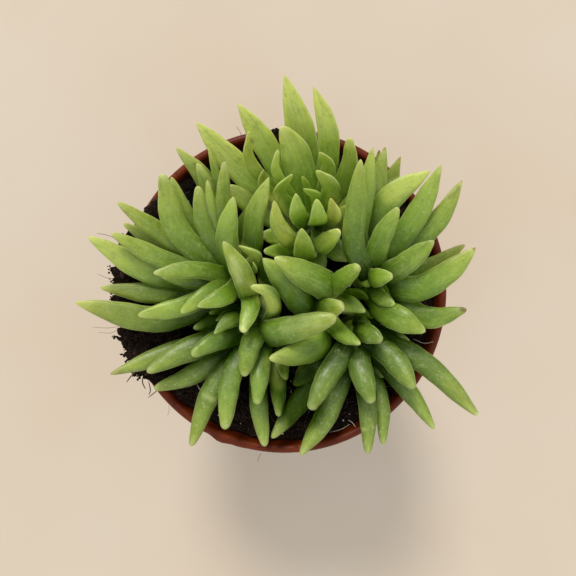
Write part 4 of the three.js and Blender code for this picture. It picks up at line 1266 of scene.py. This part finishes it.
def spill_places(chance, count):
    """Places on the top and outer edge of the heaped compost."""
    places = []
    for _ in range(count):
        i = chance.uniform(CLOD_MARGIN, SPILL_STEPS - CLOD_MARGIN)
        outline = spill_section(i)
        share = chance.uniform(0, 3)
        span = min(int(share), 2)
        (r0, z0), (r1, z1) = outline[span], outline[span + 1]
        t = share - span
        places.append(polar(spill_turn(i), mix(r0, r1, t) - CLOD_INSET, mix(z0, z1, t) - CLOD_SINK))
    return np.array(places)


# Tufts of crumbs held together by fibres round the heap's outer edge
TUFTS = 64
TUFT_CRUMBS = 12
TUFT_REACH = 2.9
TUFT_LEAN = 0.7
TUFT_SIZES = (0.62, 0.26)
TUFT_ROOT = 0.8
TUFT_LIFT = 0.35
TUFT_SCATTER = 0.22
TUFT_TWIST = 0.008


def tuft_places(chance):
    """Places and sizes of the tufts' crumbs."""
    places = []
    sizes = []
    for _ in range(TUFTS):
        i = chance.uniform(1.2, SPILL_STEPS - 0.8)
        radius, z = spill_section(i)[3]
        heading = chance.uniform(-TUFT_LEAN, TUFT_LEAN)
        reach = TUFT_REACH * chance.uniform(0.35, 1) * smoothstep(i / SPILL_START)
        for share in np.linspace(0, 1, TUFT_CRUMBS):
            turn = spill_turn(i) + heading * share * reach / radius + chance.normal(0, TUFT_TWIST)
            out = radius - TUFT_ROOT + share * reach
            places.append(polar(turn, out, z + TUFT_LIFT + chance.normal(0, TUFT_SCATTER)))
            sizes.append(mix(*TUFT_SIZES, share) * chance.uniform(0.8, 1.2))
    return np.array(places), np.array(sizes)


# Single clods lying on the lip: x, y and size
LIP_CLODS = [(-2.9, 43.9, 0.9), (-2.0, 44.0, 0.75), (-2.4, 44.4, 0.6), (-1.6, 43.6, 0.6)]

CLODS = 560
CLOD_SIZES = (0.35, 1.3)
EDGE_CRUMBS = 1500
EDGE_CRUMB_SIZES = (0.2, 0.55)


def store_crumb(piece, own):
    store(piece, "crumb", np.column_stack([own, own[:, 1]]))


def make_compost(finish):
    """The bed in the pot, the heap on the lip, and the clods and tufts of the heap."""
    chance = np.random.default_rng(SEED)
    skins = [make_bed(), make_spill()]
    bed, spill = (points for points, _ in skins)
    # Painted shade on the bed where leaves lie over it
    under_leaves = np.hstack([crowding(part) for part in np.array_split(bed, 20)])
    ground = np.append(under_leaves, np.zeros(len(spill)))
    chances = [np.column_stack([np.full(len(ground), BED_CHANCE), ground])]

    tufts, tuft_sizes = tuft_places(chance)
    on_lip = np.array([(x, y, POT_HEIGHT + 0.5 * size) for x, y, size in LIP_CLODS])
    for places, sizes, detail in (
        (tufts, tuft_sizes, 2),
        (on_lip, np.array([size for *_, size in LIP_CLODS]), 2),
        (spill_places(chance, CLODS), chance.uniform(*CLOD_SIZES, CLODS), 2),
        (spill_places(chance, EDGE_CRUMBS), chance.uniform(*EDGE_CRUMB_SIZES, EDGE_CRUMBS), 1),
    ):
        *skin, own = lumps(chance, places, sizes, detail)
        skins.append(skin)
        chances.append(own)
    piece = make_object("compost", *joined(skins), finish, "compost")
    store_crumb(piece, np.vstack(chances))
    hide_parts("soil")


# Loose bits on the bed: seed, number, detail of their shape, how far they stay from the lip, the share of the
# bed that stays free at its heart, smallest and largest size, and their height as share of the size, and more
CRUMBS = (SEED + 2, 4600, 1, 2.2, 0.04, (0.28, 1.03), (0.15, 0))
PERLITE = (SEED + 1, 110, 2, 2.4, 0.2, (0.16, 0.58), (0.5, 0.12))


def strew(name, bits, finish):
    """Loose bits strewn over the bed, most of them small."""
    seed, count, detail, margin, heart, sizes, (share, lift) = bits
    chance = np.random.default_rng(seed)
    turn = chance.uniform(0, 2 * math.pi, count)
    out = (LIP_INNER - margin) * np.sqrt(chance.uniform(heart, 1, count))
    x = np.cos(turn) * out
    y = np.sin(turn) * out
    size = mix(*sizes, chance.uniform(0, 1, count) ** 3)
    places = np.column_stack([x, y, bed_height(x, y) + share * size + lift])
    *skin, own = lumps(chance, places, size, detail)
    store_crumb(make_object(name, *skin, finish, "compost"), own)


FIBRE_SIDES = 5
FIBRE_RINGS = 9
FIBRE_END = 0.35
FIBRE_UP = (0.21, 0.13, 0.97)


def strand_skin(points, radius):
    """A thin root or fibre through points, tapered at both ends."""
    shares = np.linspace(0, 1, FIBRE_RINGS)
    spine = curve_through(points, shares)
    along = unit(np.gradient(spine, axis=0))
    side = unit(np.cross(along, FIBRE_UP))
    face = np.cross(side, along)
    turn = turns(FIBRE_SIDES)
    thick = radius * mix(FIBRE_END, 1, np.sin(math.pi * np.clip(shares * 0.9 + 0.05, 0, 1)) ** 0.5)
    ring = side[:, None] * np.cos(turn)[:, None] + face[:, None] * np.sin(turn)[:, None]
    skin = spine[:, None] + ring * thick[:, None, None]
    return np.vstack([skin.reshape(-1, 3), spine[0], spine[-1]]), loft_faces(FIBRE_RINGS, FIBRE_SIDES)


# Roots and fibres that show round the lip, each as radius and points seen at the height of the lip, with
# their own height
DARK_STRANDS = [
    (0.07, (-45.5, 14, 81.5), (-49, 15.4, 82.6), (-51.8, 15.9, 82)),
    (0.06, (-45.5, 4.4, 80.5), (-48, 3.4, 81.6), (-51.4, 4.6, 81.8)),
    (0.05, (-45, -9.6, 80.2), (-48.5, -10.2, 81.4), (-53, -10, 81)),
    (0.05, (-45.5, -10.4, 80), (-48, -11.6, 80.8), (-51.6, -11.4, 80.2)),
    (0.16, (-41, -22, 80), (-42.4, -23.6, 80.4), (-43.6, -25.2, 80)),
    (0.17, (-39, -23.5, 80), (-39.2, -25.2, 80.4), (-38.4, -27, 80)),
    (0.15, (-37.5, -25, 80), (-37, -27.4, 80.2), (-37.4, -28.6, 79.6)),
    (0.14, (-34.6, -27, 79.4), (-36, -28.2, 79.8), (-37.6, -29.4, 79.2)),
    (0.06, (-11.8, 42.6, 79.8), (-12.4, 44.2, 80.6), (-13.4, 45.4, 80.8)),
    (0.06, (-6.4, -44.6, 79), (-7, -45.8, 79.2), (-7.4, -47.2, 78.6)),
    (0.04, (-32, -31.6, 79.6), (-31.8, -33, 79.6), (-32.4, -34.6, 79)),
]
PALE_STRANDS = [
    (0.1, (-24.2, -25.6, 78.5), (-23.6, -26.8, 79.2), (-22.4, -28.2, 78.8)),
    (0.08, (17.6, -35.6, 77.8), (18.8, -36.4, 78.6), (19.6, -37.6, 78.2)),
    (0.07, (35.5, -13.2, 78), (38.5, -14.4, 78.6), (41.2, -14, 78.4)),
    (0.06, (12.5, -39, 77.5), (15.5, -38.2, 78.2), (18, -36.8, 77.9)),
]
FINE_FIBRES = 620
FINE_LENGTHS = (1.2, 5.5)
FINE_BEND = 0.9
FINE_RADII = (0.04, 0.1)
FINE_LIFTS = (0.1, 0.8)
FINE_HEART = 0.1
FINE_MARGIN = 2.0
FINE_END_MARGIN = 1.2
ON_HEAP = 0.9
HEAP_TOP = 1.6


def fine_fibre(chance):
    """Points and radius of a fine fibre that lies on the compost at a chance place."""
    turn = chance.uniform(0, 2 * math.pi)
    out = (LIP_INNER - FINE_MARGIN) * math.sqrt(chance.uniform(FINE_HEART, 1))
    heading = chance.uniform(0, 2 * math.pi)
    length = chance.uniform(*FINE_LENGTHS)
    bend = chance.uniform(-FINE_BEND, FINE_BEND)
    points = []
    for share in (-0.5, 0, 0.5):
        xy = (polar(turn, out, 0) + polar(heading + bend * share, length * share, 0))[:2]
        xy *= min(1, (LIP_INNER - FINE_END_MARGIN) / np.hypot(*xy))
        heaped = heap(*xy) > ON_HEAP and np.hypot(*xy) > LIP_INNER - SPILL_INWARD
        ground = max(soil_height(*xy), POT_HEIGHT + HEAP_TOP if heaped else 0)
        points.append((*xy, ground + chance.uniform(*FINE_LIFTS)))
    return points, chance.uniform(*FINE_RADII)


def make_strands(name, rows, loose, finish):
    """The strands of the rows, and a number of loose fine fibres."""
    chance = np.random.default_rng(SEED + loose)
    strands = [([lifted(point) for point in points], radius) for radius, *points in rows]
    strands += [fine_fibre(chance) for _ in range(loose)]
    make_object(name, *joined([strand_skin(*strand) for strand in strands]), finish, "compost")


# Floor, light and camera

KEY_DIRECTION = (-0.14, 0.74, 0.68)
KEY_STRENGTH = 1.55
KEY_SOFTNESS = 16.0
KEY_COLOUR = (1.0, 0.94, 0.85)
ROOM_STRENGTH = 0.68
ROOM_COLOUR = (0.96, 0.97, 1.0, 1)
FLOOR_METRES = 4


def make_stage():
    """A pale floor, a low soft sun and an even room."""
    bpy.ops.mesh.primitive_plane_add(size=FLOOR_METRES)
    floor = bpy.context.object
    floor.name = "floor"
    floor.data.materials.append(floor_finish())
    light = bpy.data.lights.new("key", "SUN")
    light.energy = KEY_STRENGTH
    light.angle = math.radians(KEY_SOFTNESS)
    light.color = KEY_COLOUR
    lamp = bpy.data.objects.new("key", light)
    lamp.rotation_euler = Vector(KEY_DIRECTION).to_track_quat("Z", "Y").to_euler()
    bpy.context.collection.objects.link(lamp)
    world = bpy.data.worlds.new("soft_room")
    world.use_nodes = True
    background = world.node_tree.nodes["Background"]
    background.inputs["Color"].default_value = ROOM_COLOUR
    background.inputs["Strength"].default_value = ROOM_STRENGTH
    bpy.context.scene.world = world


def make_camera():
    data = bpy.data.cameras.new("camera")
    data.sensor_width = SENSOR_MM
    data.lens = FOCAL_PIXELS * SENSOR_MM / PHOTO_WIDTH
    data.clip_start = 0.01
    camera = bpy.data.objects.new("camera", data)
    camera.location = EYE * MM
    bpy.context.collection.objects.link(camera)
    bpy.context.scene.camera = camera


make_camera()
make_stage()
bpy.context.scene.view_settings.view_transform = "Standard"

green = leaf_finish()
for head in HEADS:
    make_head(head, green)
make_pot(pot_finish())
peat = compost_finish()
dark_fibre = plain_finish("dark_fibre", (44, 30, 20), (96, 70, 46), 0.9, 0.5)
pale_root = plain_finish("pale_root", (190, 180, 160), (226, 220, 204), 0.7, 0.8)
perlite = plain_finish("perlite", (206, 200, 188), (240, 238, 230), 0.9, 1.5)
make_compost(peat)
strew("crumbs", CRUMBS, peat)
make_strands("fibres", DARK_STRANDS, FINE_FIBRES, dark_fibre)
make_strands("pale_roots", PALE_STRANDS, 0, pale_root)
strew("perlite", PERLITE, perlite)
